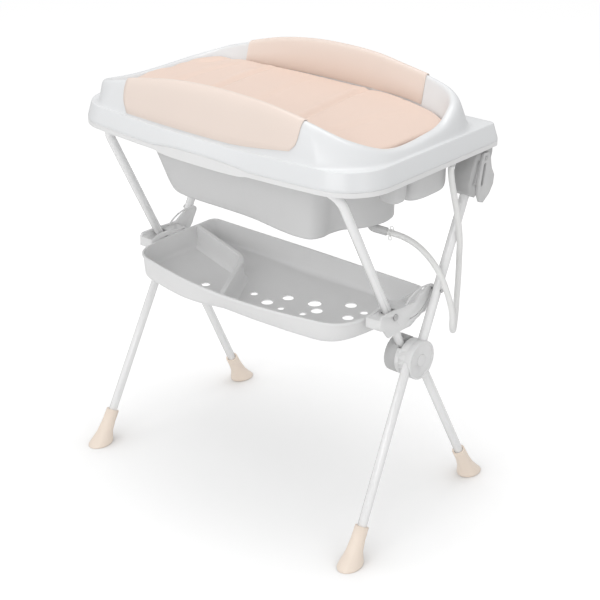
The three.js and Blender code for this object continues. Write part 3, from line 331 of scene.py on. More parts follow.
def inEdit(piece, *steps):
    # run edit operators on the whole mesh: each step is an operator and its settings
    only(piece)
    bpy.ops.object.mode_set(mode="EDIT")
    bpy.ops.mesh.select_all(action="SELECT")
    for operator, settings in steps:
        operator(**settings)
    bpy.ops.object.mode_set(mode="OBJECT")


def facedOut(piece):
    inEdit(piece, (bpy.ops.mesh.normals_make_consistent, {"inside": False}))


def castOf(node):
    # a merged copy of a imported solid, clean enough to be worked on
    piece = nodes[node].copy()
    piece.data = nodes[node].data.copy()
    piece.name = node + "_fine"
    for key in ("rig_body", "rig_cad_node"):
        del piece[key]
    piece.parent = None
    piece.matrix_world = Matrix.Identity(4)
    scene.collection.objects.link(piece)
    inEdit(piece, (bpy.ops.mesh.remove_doubles, {"threshold": 0.00002}))
    return piece


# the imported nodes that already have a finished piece
shown = set()


def dressed(piece, body, *stands, slot, finish=None):
    piece.data.materials.clear()
    piece.data.materials.append(finishes[finish or slot])
    shown.update(stands)
    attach(piece, body)
    if stands:
        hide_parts(*stands)
    return piece


def smoothed(piece, angle):
    only(piece)
    bpy.ops.object.shade_smooth_by_angle(angle=math.radians(angle))


def edged(piece, width, angle=35):
    change(piece, "BEVEL", width=width, limit_method="ANGLE", angle_limit=math.radians(angle),
           segments=2, harden_normals=True, use_clamp_overlap=True, miter_outer="MITER_ARC")
    smoothed(piece, angle + 8)


def turned(node, width=0.0006, finish=None):
    # a hard piece: flat facets joined, then every sharp edge broken
    piece = castOf(node)
    inEdit(piece, (bpy.ops.mesh.dissolve_limited, {"angle_limit": math.radians(0.6)}))
    edged(piece, width)
    return dressed(piece, bodyOf[node], node, slot=slotOf[node], finish=finish)


def cut(piece, tool, operation="DIFFERENCE"):
    # one solid taken from, added to or kept within another; the tool is used up
    change(piece, "BOOLEAN", operation=operation, object=tool, solver="EXACT")
    bpy.data.objects.remove(tool)


def cylinder(start, end, radius, sides=32):
    # a round bar between two places in millimetres
    start, end = Vector(start) * mm, Vector(end) * mm
    bpy.ops.object.select_all(action="DESELECT")
    bpy.ops.mesh.primitive_cylinder_add(vertices=sides, radius=radius * mm, depth=(end - start).length)
    piece = bpy.context.object
    piece.data.transform((end - start).to_track_quat("Z", "Y").to_matrix().to_4x4())
    piece.data.transform(Matrix.Translation((start + end) / 2))
    return piece


def mergedWith(piece, others):
    only(piece)
    for other in others:
        other.select_set(True)
    bpy.ops.object.join()
    return piece


# drain hose
hose = {
    "radius": 6.5, "steps": 8,
    "exit": (258.4469, 32.7486, 633.1354), "clamp": (265.5977, 35.9989, 631.6185),
    "straight": (272.7485, 39.2493, 630.1017),
    "route": ((294, 46, 625), (319, 50, 616), (343, 52, 602), (365, 54, 582), (383, 56, 557),
              (396, 58.5, 528), (405, 61.5, 499), (408, 65, 474), (405.7, 69.3, 452), (398.8, 81.1, 434.2),
              (388.8, 98.4, 423.8), (377.5, 117.8, 422.8), (367, 135.8, 431.4), (359.4, 148.9, 448),
              (356, 154.8, 470), (355.5, 157, 500), (357, 155.5, 530), (361, 149.5, 558), (368, 139, 583),
              (376, 127, 606), (381, 117, 631), (383.5, 108.5, 658), (384.5, 98, 692), (384.5, 86.5, 727),
              (386.5, 73, 763), (388, 66, 786)),
    "top": (388, 66, 797.718),
}


def stretchOf(a, b, c, d, steps):
    # the stretch from b to c of a curve through four points, without c; its speed follows their spacing
    ta, tb, tc = (math.sqrt((q - p).length) for p, q in ((a, b), (b, c), (c, d)))
    leave = (b - a) / ta - (c - a) / (ta + tb) + (c - b) / tb
    arrive = (c - b) / tb - (d - b) / (tb + tc) + (d - c) / tc
    run = []
    for k in range(steps):
        t = k / steps
        run.append(b * (2 * t ** 3 - 3 * t ** 2 + 1) + leave * tb * (t ** 3 - 2 * t ** 2 + t)
                   + c * (3 * t ** 2 - 2 * t ** 3) + arrive * tb * (t ** 3 - t ** 2))
    return run


def smoothThrough(points, steps):
    # a smooth open curve through every point
    reach = [points[0] * 2 - points[1], *points, points[-1] * 2 - points[-2]]
    run = []
    for a, b, c, d in zip(reach, reach[1:], reach[2:], reach[3:]):
        run += stretchOf(a, b, c, d, steps)
    return [*run, points[-1]]


def makeHose():
    marks = [hose["exit"], hose["clamp"], hose["straight"], *hose["route"], hose["top"]]
    run = smoothThrough([Vector(p) * mm for p in marks], hose["steps"])
    line = bpy.data.curves.new("drain_hose_line", "CURVE")
    line.dimensions = "3D"
    line.bevel_depth = hose["radius"] * mm
    line.bevel_resolution = 6
    line.use_fill_caps = True
    spline = line.splines.new("POLY")
    spline.points.add(len(run) - 1)
    for spot, place in zip(spline.points, run):
        spot.co = (*place, 1)
    spline.use_smooth = True
    piece = bpy.data.objects.new("drain_hose_soft", line)
    scene.collection.objects.link(piece)
    length = sum((b - a).length for a, b in zip(run, run[1:]))
    print("hose length", round(length, 4))
    band = turned("hose_clamp", 0.0001)
    dressed(piece, "bath", "drain_hose", slot="hose_plastic")


makeHose()
print("hose ready")


# shapes drawn on headings from a middle line, in millimetres
def mix(a, b, t):
    return a + (b - a) * t


def clamp(value, low=0.0, high=1.0):
    return min(max(value, low), high)


def middleOf(node):
    low, high = (Vector(corner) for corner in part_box(node))
    return (low + high) / 2 / mm


def turnedTo(angle):
    return math.degrees(angle) % 360


def reachTo(points, middleY, angle):
    # the distance from (0, middleY) to a closed outline, along a heading
    tiny = 1e-9
    dx, dy = math.cos(angle), math.sin(angle)
    reach = 0.0
    for (ax, ay), (bx, by) in zip(points, points[1:] + points[:1]):
        ex, ey = bx - ax, by - ay
        cross = dx * ey - dy * ex
        if abs(cross) < tiny:
            continue
        along = (ax * ey - (ay - middleY) * ex) / cross
        share = (ax * dy - (ay - middleY) * dx) / cross
        if along > 0 and -tiny <= share <= 1 + tiny:
            reach = max(reach, along)
    return reach


def oblong(angle, right, left, front, back, power):
    # the reach of a rounded rectangle along a heading; a higher power has squarer corners
    c, s = math.cos(angle), math.sin(angle)
    a = right if c > 0 else left
    b = back if s > 0 else front
    return (abs(c / a) ** power + abs(s / b) ** power) ** (-1 / power)


def closedCurve(points, steps=6):
    # a smooth loop through a few plan points
    loop = [Vector((x, y, 0)) for x, y in points]
    count = len(loop)
    run = []
    for i in range(count):
        run += stretchOf(*(loop[(i + k) % count] for k in (-1, 0, 1, 2)), steps)
    return [(place.x, place.y) for place in run]


def rounded(points, reaches, steps=5):
    # a profile whose corners are swept by short curves; each reach is how far back a curve starts
    longest = 0.48
    path = [Vector(points[0])]
    for before, corner, after, reach in zip(points, points[1:], points[2:], reaches):
        corner = Vector(corner)
        back, on = Vector(before) - corner, Vector(after) - corner
        start = corner + back.normalized() * min(reach, longest * back.length)
        end = corner + on.normalized() * min(reach, longest * on.length)
        for k in range(steps + 1):
            t = k / steps
            path.append(start * (1 - t) ** 2 + corner * (2 * t * (1 - t)) + end * t ** 2)
    return [*path, Vector(points[-1])]


def shifted(profile, distance):
    # a profile moved sideways, to the left of its own direction
    moved = []
    for i, spot in enumerate(profile):
        run = profile[min(i + 1, len(profile) - 1)] - profile[max(i - 1, 0)]
        run.normalize()
        moved.append(spot + Vector((-run.y, run.x)) * distance)
    return moved


def between(first, second, share):
    return tuple(mix(a, b, share) for a, b in zip(first, second))


def onRay(angle, middleY, spot):
    return (spot[0] * math.cos(angle), middleY + spot[0] * math.sin(angle), spot[1])


def sheetOf(name, rows, joined=True):
    # a grid whose columns run round the piece and whose rows follow its profile
    around = rows + rows[:1] if joined else rows
    bpy.ops.object.select_all(action="DESELECT")
    bpy.ops.mesh.primitive_grid_add(
        x_subdivisions=len(rows[0]) - 1, y_subdivisions=len(around) - 1, size=1)
    piece = bpy.context.object
    piece.name = piece.data.name = name
    piece.data.vertices.foreach_set("co", [c * mm for row in around for spot in row for c in spot])
    piece.data.update()
    inEdit(piece, (bpy.ops.mesh.remove_doubles, {"threshold": 0.000002}),
           (bpy.ops.mesh.flip_normals, {}))
    return piece


def walled(piece, wall):
    change(piece, "SOLIDIFY", thickness=wall * mm, offset=-1, use_even_offset=True,
           use_quality_normals=True)
    return piece


bar = {"front": middleOf("front_crossbar"), "rear": middleOf("rear_crossbar")}
rimTop = bar["rear"].z + 15
shelf = rimTop + 0.3 + 36.4
top = {
    "half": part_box("changer_shell")[1][0] / mm, "front": bar["front"].y - 38.4, "rear": bar["rear"].y + 13.9,
    "bow": 17.5, "frontCorner": 105, "rearCorner": 20, "slope": 10, "wall": 3, "middle": -20,
    "skirt": rimTop + 0.3, "hem": 4, "shelf": shelf, "deck": shelf + 10.7,
    "reaches": (2.2, 2.6), "deckReach": 40,
    "fallFrom": 230, "fallRun": 175, "fallDepth": 22,
}
# the raised ring round the pad: insets from the top's right, left, front and rear edges
ring = {
    "foot": (12, 32, -8.5, 17), "crest": (26, 45, 29.5, 45), "hollow": (47, 78, 57.5, 73),
    "width": 21, "ledge": 7, "batter": 6,
    # how square its plan is: square behind on the right and at the left end of the front, where it blends
    # into round, and what the crest gains in that corner
    "square": 5, "round": 4, "blend": (212, 24),
    "corner": {"turn": 208, "spread": 26, "gain": 4, "ease": 0.7},
    # its section: shares of the way from foot to crest and of the rise, then the crest's flat edge and how
    # far down the inner wall its upper bend lies
    "outer": ((0.35, 0.4), (0.8, 0.85)), "flat": 5, "drop": 0.18, "reaches": (14, 30, 16, 7, 7, 12, 10),
    # the crest's height above the shelf at each heading in degrees
    "heights": ((0, 16), (12, 27), (20, 55), (30, 74), (45, 91), (60, 104), (85, 108), (110, 104), (130, 91),
                (147, 65), (160, 43), (180, 35), (197, 37), (210, 50), (222, 72), (240, 87), (265, 92),
                (290, 92), (310, 87), (323, 72), (335, 42), (347, 18)),
}


def topOutline(inset):
    half, rear, front = top["half"] - inset, top["rear"] - inset, top["front"] + inset
    corner, rearCorner = top["frontCorner"] - inset, max(top["rearCorner"] - inset, 6)
    bowSteps, bowShare = 24, 0.9
    points = []

    def arc(x, y, radius, start, end, steps):
        for k in range(steps + 1):
            a = math.radians(mix(start, end, k / steps))
            points.append((x + radius * math.cos(a), y + radius * math.sin(a)))

    arc(half - rearCorner, rear - rearCorner, rearCorner, 0, 90, 12)
    arc(rearCorner - half, rear - rearCorner, rearCorner, 90, 180, 12)
    arc(corner - half, front + corner, corner, 180, 266, 20)
    # both front corners stop just short of square to the bowed edge between them
    flat = half - corner
    for k in range(bowSteps + 1):
        part = mix(-bowShare, bowShare, k / bowSteps)
        points.append((part * flat, front - top["bow"] * (1 - part ** 2)))
    arc(half - corner, front + corner, corner, 274, 360, 20)
    return points


lipOutline = topOutline(0)
edgeOutline = topOutline(top["slope"])
# headings all round, closer together at the two tight rear corners
rearTurn = math.degrees(math.atan2(top["rear"] - top["middle"] - 8, top["half"] - 8))
fan = [k * 1.25 for k in range(288)]
for turn in (rearTurn, 180 - rearTurn):
    fan += [turn - 2.6 + 0.4 * k for k in range(14)]
headings = [math.radians(turn) for turn in sorted(set(round(turn, 3) for turn in fan))]


def insideTop(angle, insets, power):
    right, left, front, rear = insets
    return oblong(angle, top["half"] - right, top["half"] - left, top["middle"] - top["front"] - front,
                  top["rear"] - top["middle"] - rear, power)


def crestHeight(angle):
    # the ring's height between its two nearest marks, on a smooth curve
    turn = turnedTo(angle)
    first, second = ring["heights"][:2]
    marks = [*ring["heights"], (360, first[1]), (360 + second[0], second[1])]
    i = next(k for k, mark in enumerate(marks) if mark[0] > turn) - 1
    before, after = marks[max(i - 1, 0)], marks[min(i + 2, len(marks) - 1)]
    (a0, z0), (a1, z1) = marks[i:i + 2]
    span = a1 - a0
    t = (turn - a0) / span
    slope0 = (z1 - before[1]) / max(a1 - before[0], 1)
    slope1 = (after[1] - z0) / max(after[0] - a0, 1)
    return top["shelf"] + (z0 * (1 + 2 * t) * (1 - t) ** 2 + slope0 * span * t * (1 - t) ** 2
                           + z1 * t ** 2 * (3 - 2 * t) + slope1 * span * t ** 2 * (t - 1))


def ringPower(turn):
    if turn < 90:
        return ring["square"]
    if turn < 180:
        return ring["round"]
    start, run = ring["blend"]
    return mix(ring["square"], ring["round"], clamp((turn - start) / run))


def ringAt(angle):
    # the ring's reach at this heading: its foot on the shelf, its crest and the edge of the deck inside it
    turn = turnedTo(angle)
    power = ringPower(turn)
    corner = ring["corner"]
    extra = corner["gain"] * clamp(1 - abs(turn - corner["turn"]) / corner["spread"]) ** corner["ease"]
    ledge = reachTo(edgeOutline, top["middle"], angle) - ring["ledge"]
    foot = min(insideTop(angle, ring["foot"], power), ledge)
    crest = min(insideTop(angle, ring["crest"], power + extra), foot - ring["batter"])
    hollow = min(insideTop(angle, ring["hollow"], power), crest - ring["width"] - 1)
    return foot, crest, hollow


def deckFall(x):
    # how far the deck under the pad has dropped towards its right end
    return top["fallDepth"] * clamp((x - top["half"] + top["fallFrom"]) / top["fallRun"]) ** 2


def ringCorners(angle):
    # the raised ring's section, from its foot on the shelf over the crest and down to the deck
    foot, crest, hollow = ringAt(angle)
    z = crestHeight(angle)
    rise = z - top["shelf"]
    deck = top["deck"] - deckFall(hollow * math.cos(angle))
    inner = crest - ring["width"]
    outer = [(mix(foot, crest, share), top["shelf"] + height * rise) for share, height in ring["outer"]]
    return [(foot, top["shelf"]), *outer, (crest - ring["flat"], z), (inner + ring["flat"], z),
            (inner, mix(z, deck, ring["drop"])), (hollow, deck)]


grip = {"middle": 10, "half": 125, "up": 8.5, "down": 5, "ease": 0.7, "upPower": 2, "downPower": 5}


def gripBulge(angle, reach, power):
    # how far the half-moon grip in the middle of the front lip has risen at this heading
    x = reach * math.cos(angle)
    if math.sin(angle) > 0 or abs(x - grip["middle"]) >= grip["half"]:
        return 0.0
    return (1 - abs((x - grip["middle"]) / grip["half"]) ** power) ** grip["ease"]


def makeShell():
    rows = []
    for angle in headings:
        lip = reachTo(lipOutline, top["middle"], angle)
        edge = reachTo(edgeOutline, top["middle"], angle)
        corners = ringCorners(angle)
        halfway = corners[-1][0] * 0.5
        skirt = top["skirt"] + grip["up"] * gripBulge(angle, lip, grip["upPower"])
        points = [(lip, skirt), (lip, skirt + top["hem"]), (edge, top["shelf"]), *corners,
                  (halfway, top["deck"] - deckFall(halfway * math.cos(angle))), (0, top["deck"])]
        path = rounded(points, (*top["reaches"], *ring["reaches"], top["deckReach"]))
        rows.append([onRay(angle, top["middle"], spot) for spot in path])
    piece = walled(sheetOf("changer_shell_fine", rows), top["wall"])
    for side in (-1, 1):
        cut(piece, knuckle(side, 1), "UNION")
    smoothed(piece, 40)
    dressed(piece, "changer", "changer_shell", slot="white_plastic")


hinge = {
    "y": top["rear"] + 8, "z": rimTop - 5.3, "radius": 6, "bore": 2.8, "length": 16,
    "start": top["half"] - 70, "gap": 0.3, "endGap": 3, "root": 1,
    # the webs that carry the knuckles: lowest, highest and how much deeper than the others
    "topWeb": (top["skirt"] + 0.5, top["skirt"] + 5, 3), "rimWeb": (rimTop - 9.3, rimTop - 4.3, 0),
}


def knuckle(side, place):
    # one hinge knuckle behind the rim; the middle one belongs to the changing top
    start = hinge["start"] + place * hinge["length"] + (hinge["gap"] if place else 0)
    end = hinge["start"] + (place + 1) * hinge["length"] - (hinge["endGap"] if place == 2 else 0)

    def across(first, last, radius, sides):
        ends = ((side * x, hinge["y"], hinge["z"]) for x in (first, last))
        return cylinder(*ends, radius, sides)

    barrel = across(start, end, hinge["radius"], 40)
    low, high, deeper = hinge["topWeb"] if place == 1 else hinge["rimWeb"]
    depth = hinge["y"] - top["rear"] + hinge["root"] + deeper
    centre = Vector((side * ((start + end) / 2), top["rear"] - hinge["root"] + depth / 2, (low + high) / 2))
    bpy.ops.object.select_all(action="DESELECT")
    bpy.ops.mesh.primitive_cube_add(size=1)
    web = bpy.context.object
    web.data.transform(Matrix.Diagonal(((end - start) * mm, depth * mm, (high - low) * mm, 1)))
    web.data.transform(Matrix.Translation(centre * mm))
    cut(barrel, web, "UNION")
    cut(barrel, across(start - 1, end + 1, hinge["bore"], 24))
    return barrel


panel = {
    "thick": 2, "stand": 0.9, "steps": 96, "edge": 0.0007, "edgeAngle": 50,
    # each end lies on a plane across the piece and sweeps in at its lower corner: place, sweep, height share
    "front": {"turns": (221, 319), "left": (-239, 20, 0.3), "right": (239, 14, 0.26), "seam": 0.12,
              "climb": 0.5, "climbFrom": 285, "climbRun": 34, "inside": 0.5},
    "rear": {"turns": (38.5, 141.5), "left": (-238, 0, 0.1), "right": (249, 0, 0.1), "outside": 0.6,
             "hem": 0.7},
}


def endTurn(pathOf, k, share, target, near):
    # the heading at which one point of the section reaches the plane of the end
    place, inward, height = target
    q = clamp(1 - share / height)
    x = place - math.copysign(inward, place) * (1 - math.sqrt(1 - q * q))
    reach, halvings = 16, 14
    low, high = near - reach, near + reach

    def xAt(turn):
        return pathOf(turn)[k].x * math.cos(math.radians(turn))

    rising = xAt(high) > xAt(low)
    for _ in range(halvings):
        middle = (low + high) / 2
        beyond = xAt(middle) > x
        low, high = (low, middle) if beyond == rising else (middle, high)
    return low


def panelSheet(name, form, profileOf):
    # a cover on the ring: every point of its section has a heading of its own at both ends
    kept = {}

    def pathOf(turn):
        turn = round(turn, 2)
        if turn not in kept:
            kept[turn] = shifted(profileOf(math.radians(turn)), -panel["stand"] - panel["thick"])
        return kept[turn]

    first, last = form["turns"]
    length = len(pathOf(first))
    sides = ("left", "right") if math.cos(math.radians(first)) < 0 else ("right", "left")
    ends = [(endTurn(pathOf, k, k / (length - 1), form[sides[0]], first),
             endTurn(pathOf, k, k / (length - 1), form[sides[1]], last)) for k in range(length)]
    rows = []
    for i in range(panel["steps"] + 1):
        turns = [mix(start, end, i / panel["steps"]) for start, end in ends]
        rows.append([onRay(math.radians(turn), top["middle"], pathOf(turn)[k])
                     for k, turn in enumerate(turns)])
    piece = walled(sheetOf(name, rows, joined=False), panel["thick"])
    edged(piece, panel["edge"], panel["edgeAngle"])
    return piece


def frontSection(angle):
    # from a seam low on the ring's outer wall, over the crest, to part way down its inner wall
    corners, form = ringCorners(angle), panel["front"]
    late = clamp((turnedTo(angle) - form["climbFrom"]) / form["climbRun"])
    seam = between(corners[0], corners[1], form["seam"] + form["climb"] * late ** 2)
    end = between(corners[4], corners[5], form["inside"])
    return rounded([seam, *corners[1:5], end], ring["reaches"][1:5])


def rearSection(angle):
    # from near the crest's outer edge, over it, to low on the inner wall
    corners, form = ringCorners(angle), panel["rear"]
    outer = between(corners[2], corners[3], form["outside"])
    hem = between(corners[5], corners[6], form["hem"])
    return rounded([outer, *corners[3:6], hem], ring["reaches"][3:6])


def makePanels():
    for end, section in (("front", frontSection), ("rear", rearSection)):
        cover = panelSheet("guard_panel_" + end + "_fine", panel[end], section)
        dressed(cover, "changer", "guard_panel_" + end, slot="peach_plastic")


makeShell()
makePanels()
print("changing top ready")

pad = {
    "clear": 3.5, "low": 0.5, "height": 21.5, "overhang": 6, "gap": 1.5, "snug": 2.5, "side": 7,
    "shoulder": 1.5,
    # the left end climbs the ring's slope
    "rise": 9, "riseFrom": 190, "riseRun": 120, "reaches": (60, 6, 4, 9, 60),
    # the filling: a light inflation, held back to what the ring leaves room for
    "voxel": 5, "pressure": 4.0, "frames": 20, "up": 7.0, "out": 2.6,
}


def padRows():
    rows = []
    base = top["deck"] + pad["low"]
    crown = top["deck"] + pad["height"]
    for angle in headings:
        _, crest, hollow = ringAt(angle)
        reach = hollow - pad["clear"]
        wide = min(reach + pad["overhang"], crest - ring["width"] - pad["gap"])
        wide += pad["snug"] * clamp(math.sin(angle) * 3)

        def fall(r):
            return deckFall(r * math.cos(angle))

        def climb(r):
            return pad["rise"] * clamp((-r * math.cos(angle) - pad["riseFrom"]) / pad["riseRun"]) - fall(r)

        points = [(0, base), (reach * 0.5, base - fall(reach * 0.5)), (reach - 1, base - fall(reach - 4)),
                  (wide, base + pad["side"] - fall(reach)), (wide, crown - pad["shoulder"] + climb(wide)),
                  (reach * 0.6, crown + climb(reach * 0.6)), (0, crown)]
        path = rounded(points, pad["reaches"])
        rows.append([onRay(angle, top["middle"], spot) for spot in path])
    return rows


creases = {
    # each fold line across the pad: two plan points, depth and half width, in millimetres
    "lines": (((-120, -150), (-142, 128), 4.6, 7), ((152, -150), (121, 142), 5.0, 7),
              ((-278, 40), (-236, 150), 3.6, 8), ((14, -150), (-22, 130), 2.0, 9),
              ((-222, -140), (-214, 90), 2.2, 8), ((236, -130), (262, 70), 2.0, 9)),
    "over": 0.1, "sway": 3, "swings": 7, "fadeIn": 6, "fadeOut": 4,
    # the swell beside each fold: share of the depth, place and width, both in half widths of the fold
    "swell": (0.55, 2.2, 1.4),
}


def creased(piece):
    # shallow fold lines, each fading out over both its ends
    over = creases["over"]
    swell, swellPlace, swellWidth = creases["swell"]
    base = top["deck"] * mm + 0.008
    for spot in piece.data.vertices:
        if spot.co.z < base - deckFall(spot.co.x / mm) * mm:
            continue
        place = Vector((spot.co.x, spot.co.y)) / mm
        for start, end, depth, width in creases["lines"]:
            start, end = Vector(start), Vector(end)
            run = end - start
            along = (place - start).dot(run) / run.length_squared
            if not -over < along < 1 + over:
                continue
            off = (place - start - run * along).dot(Vector((-run.y, run.x)).normalized())
            off += creases["sway"] * math.sin(along * creases["swings"])
            fade = clamp((along + over) * creases["fadeIn"]) * clamp((1 + over - along) * creases["fadeOut"])
            bulge = swell * math.exp(-((off - swellPlace * width) / (swellWidth * width)) ** 2)
            spot.co.z += depth * fade * (bulge - math.exp(-(off / width) ** 2)) * mm


def inflated(piece):
    # a short cloth run under pressure; no point keeps more of its move than the ring leaves room for
    before = [spot.co.copy() for spot in piece.data.vertices]
    only(piece)
    cloth = piece.modifiers.new("Cloth", "CLOTH")
    cloth.settings.use_pressure = True
    cloth.settings.uniform_pressure_force = pad["pressure"]
    cloth.settings.effector_weights.gravity = 0
    cloth.settings.quality = 5
    cloth.collision_settings.use_collision = False
    for number in range(1, pad["frames"] + 1):
        scene.frame_set(number)
    bpy.ops.object.modifier_apply(modifier="Cloth")
    scene.frame_set(1)
    for spot, was in zip(piece.data.vertices, before):
        move = spot.co - was
        flat = Vector((move.x, move.y, 0))
        if flat.length > pad["out"] * mm:
            flat *= pad["out"] * mm / flat.length
        spot.co = was + flat + Vector((0, 0, clamp(move.z, 0, pad["up"] * mm)))
    change(piece, "SMOOTH", factor=0.5, iterations=4)


def makePad():
    piece = sheetOf("changing_mat_soft", padRows())
    facedOut(piece)
    change(piece, "REMESH", mode="VOXEL", voxel_size=pad["voxel"] * mm)
    change(piece, "SMOOTH", factor=0.5, iterations=6)
    inflated(piece)
    creased(piece)
    change(piece, "SUBSURF", levels=1, render_levels=1)
    only(piece)
    bpy.ops.object.shade_smooth()
    dressed(piece, "changer", "changing_mat", slot="pad_cover")


makePad()
print("pad ready")

bath = {
    "wall": 3, "lip": rimTop - 10.3, "floor": rimTop - 161.3, "opening": (102, 78, 53.5, 97), "power": 3.2,
    "rimStep": (7, 8), "flange": 9, "tilt": 2, "crown": 4, "steepness": (1.6, 0.4),
    "reaches": (2.2, 1.5, 1.5, 9, 40, 10, 7, 30),
    # the walls: shares of the rise at which they bend, and of the way in there at the left and right end
    "bendAt": (0.40, 0.86), "leftBend": (0.45, 0.86), "rightBend": (0.85, 1.0),
    "plan": ((258, 34), (249, 62), (215, 84), (120, 88), (-120, 88), (-205, 78), (-238, 38), (-237, -64),
             (-222, -108), (-194, -131), (-162, -139), (-130, -141), (-50, -140), (40, -140), (125, -152),
             (178, -154), (204, -147), (214, -126), (213, -100), (220, -64), (244, -30), (257, 12)),
    "pockets": ({"y": 31, "halfX": 27, "halfY": 60, "depth": 74},
                {"y": -66, "halfX": 24, "halfY": 20, "depth": 64}),
    "pocketInset": 57, "pocketPower": 2.7, "drain": (226, 18), "bore": 9.3,
}


def pocketForm(pocket, grow, height):
    # a rounded cup: outlines that narrow towards the floor, closed at both ends
    sides = 72
    x = top["half"] - bath["pocketInset"]
    floor = rimTop - pocket["depth"] - grow
    rows = []
    for shrink, z in ((60, floor), (16, floor), (9, floor + 1), (4.5, floor + 4), (2, floor + 9),
                      (0.8, floor + 18), (0, height), (60, height)):
        halfX, halfY = (max(pocket[side] + grow - shrink, 0) for side in ("halfX", "halfY"))
        loop = []
        for k in range(sides):
            a = 2 * math.pi * k / sides
            r = oblong(a, halfX, halfX, halfY, halfY, bath["pocketPower"]) if min(halfX, halfY) > 0 else 0
            loop.append((x + r * math.cos(a), pocket["y"] + r * math.sin(a), z))
        rows.append(loop)
    piece = sheetOf("pocket", [list(column) for column in zip(*rows)])
    facedOut(piece)
    return piece


def bathPath(angle, plan):
    # from the hanging lip over the flange and the rim, down the wall and to the middle of the floor
    rise = rimTop - bath["floor"]
    inside = bath["floor"] + bath["wall"]
    lip = reachTo(lipOutline, top["middle"], angle)
    opening = insideTop(angle, bath["opening"], bath["power"])
    low = reachTo(plan, top["middle"], angle)
    tilt = bath["tilt"] * (1 - math.cos(angle))
    gain, threshold = bath["steepness"]
    steep = clamp(gain * math.cos(angle) - threshold)
    high = rimTop + grip["up"] * gripBulge(angle, lip, grip["upPower"])
    hang = bath["lip"] - grip["down"] * gripBulge(angle, lip, grip["downPower"])
    stepOut, stepIn = bath["rimStep"]
    bends = [(mix(opening, low, mix(left, right, steep)), rimTop - share * rise)
             for share, left, right in zip(bath["bendAt"], bath["leftBend"], bath["rightBend"])]
    points = [(lip, hang), (lip, high), (lip - stepOut, high), (lip - stepIn, rimTop), (opening, rimTop),
              *bends, (low, inside + tilt), (low * 0.5, inside + tilt * 0.5), (0, inside + bath["crown"])]
    return rounded(points, bath["reaches"])


def paintedLightFlange(piece):
    # the flange round the rim is given the paler grey as painted light, so that it reads lighter than the tub
    # below it
    piece.data.materials.append(finishes["lit_grey_plastic"])
    low = (bath["lip"] - grip["down"] - 0.5) * mm
    for face in piece.data.polygons:
        spot = face.center
        turn = math.atan2(spot.y - top["middle"] * mm, spot.x)
        out = math.hypot(spot.x, spot.y - top["middle"] * mm) / mm
        if spot.z > low and out > reachTo(lipOutline, top["middle"], turn) - bath["flange"]:
            face.material_index = 1


def makeBath():
    plan = closedCurve(bath["plan"])
    rows = [[onRay(angle, top["middle"], spot) for spot in bathPath(angle, plan)] for angle in headings]
    piece = walled(sheetOf("bath_tub_fine", rows), bath["wall"])
    for pocket in bath["pockets"]:
        cut(piece, pocketForm(pocket, bath["wall"], rimTop - 1), "UNION")
        cut(piece, pocketForm(pocket, 0, rimTop + 1))
    x, y = bath["drain"]
    cut(piece, cylinder((x, y, bath["floor"] - 30), (x, y, bath["floor"] + 30), bath["bore"]))
    for side in (-1, 1):
        for place in (0, 2):
            cut(piece, knuckle(side, place), "UNION")
    smoothed(piece, 40)
    dressed(piece, "bath", "bath_tub", slot="grey_plastic")
    paintedLightFlange(piece)


makeBath()
print("bath ready")

bolt = middleOf("tray_bolt_right")
tray = {
    "rim": bolt.z + 2.5, "depth": 55, "wall": 2.6, "lip": 6, "bow": 25, "half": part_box("tray")[1][0] / mm - 6,
    "rear": bolt.y + 154.3, "front": bolt.y - 123.7, "middle": bolt.y + 16.3,
    # how far in from the end and the edge each corner starts and ends
    "rearCorner": (18, 20), "frontCorner": ((1, 38), (14, 10), (80, 2)), "bowStart": 110,
    # how far the walls lean in, at the left and right end: behind and along the front; where along the tray
    # the left value starts to give way and over what run; how soon the front's value takes over
    "rearLean": (4, 14), "frontLean": (3, 30), "leanTurn": (0.75, 0.7), "frontGain": 1.4,
    "lipDrop": 6, "knee": (0.45, 20), "reaches": (2, 1.6, 14, 11, 10),
    "divider": {"plan": ((-320, 85), (-97, 13), (10, -175)), "bend": 34, "thick": 11, "flare": 9,
                "topRound": 3},
    "holes": ((-136, -70, 10), (-20, -37, 8.5), (31, -51, 13), (51, -5, 12.5), (75, -56, 7.5),
              (128, -46, 7.5), (141, -15, 13), (114, 10, 15), (179, 54, 13), (213, 2, 12.5), (224, 43, 9)),
}


def sweep(*points, steps=14):
    # a quadratic or cubic curve through the plan, without its last point
    run = []
    for k in range(steps):
        t = k / steps
        shares = [(1 - t) ** 2, 2 * t * (1 - t), t ** 2] if len(points) == 3 else \
            [(1 - t) ** 3, 3 * t * (1 - t) ** 2, 3 * t ** 2 * (1 - t), t ** 3]
        run.append(tuple(sum(s * p[axis] for s, p in zip(shares, points)) for axis in (0, 1)))
    return run


def trayOutline():
    # the right half, from its rear corner to the middle of the bowed front, then its mirror image
    half, rear, front = tray["half"], tray["rear"], tray["front"]
    bowed = front - tray["bow"]
    across, down = tray["rearCorner"]
    corner = [(half - x, front + y) for x, y in tray["frontCorner"]]
    right = [*sweep((half - across, rear), (half, rear), (half, rear - down)),
             (half, rear - down),
             *sweep((half, tray["middle"]), *corner),
             *sweep(corner[-1], (tray["bowStart"], bowed), (0, bowed))]
    left = [(-x, y) for x, y in reversed(right)]
    return [*right, (0, bowed), *left]


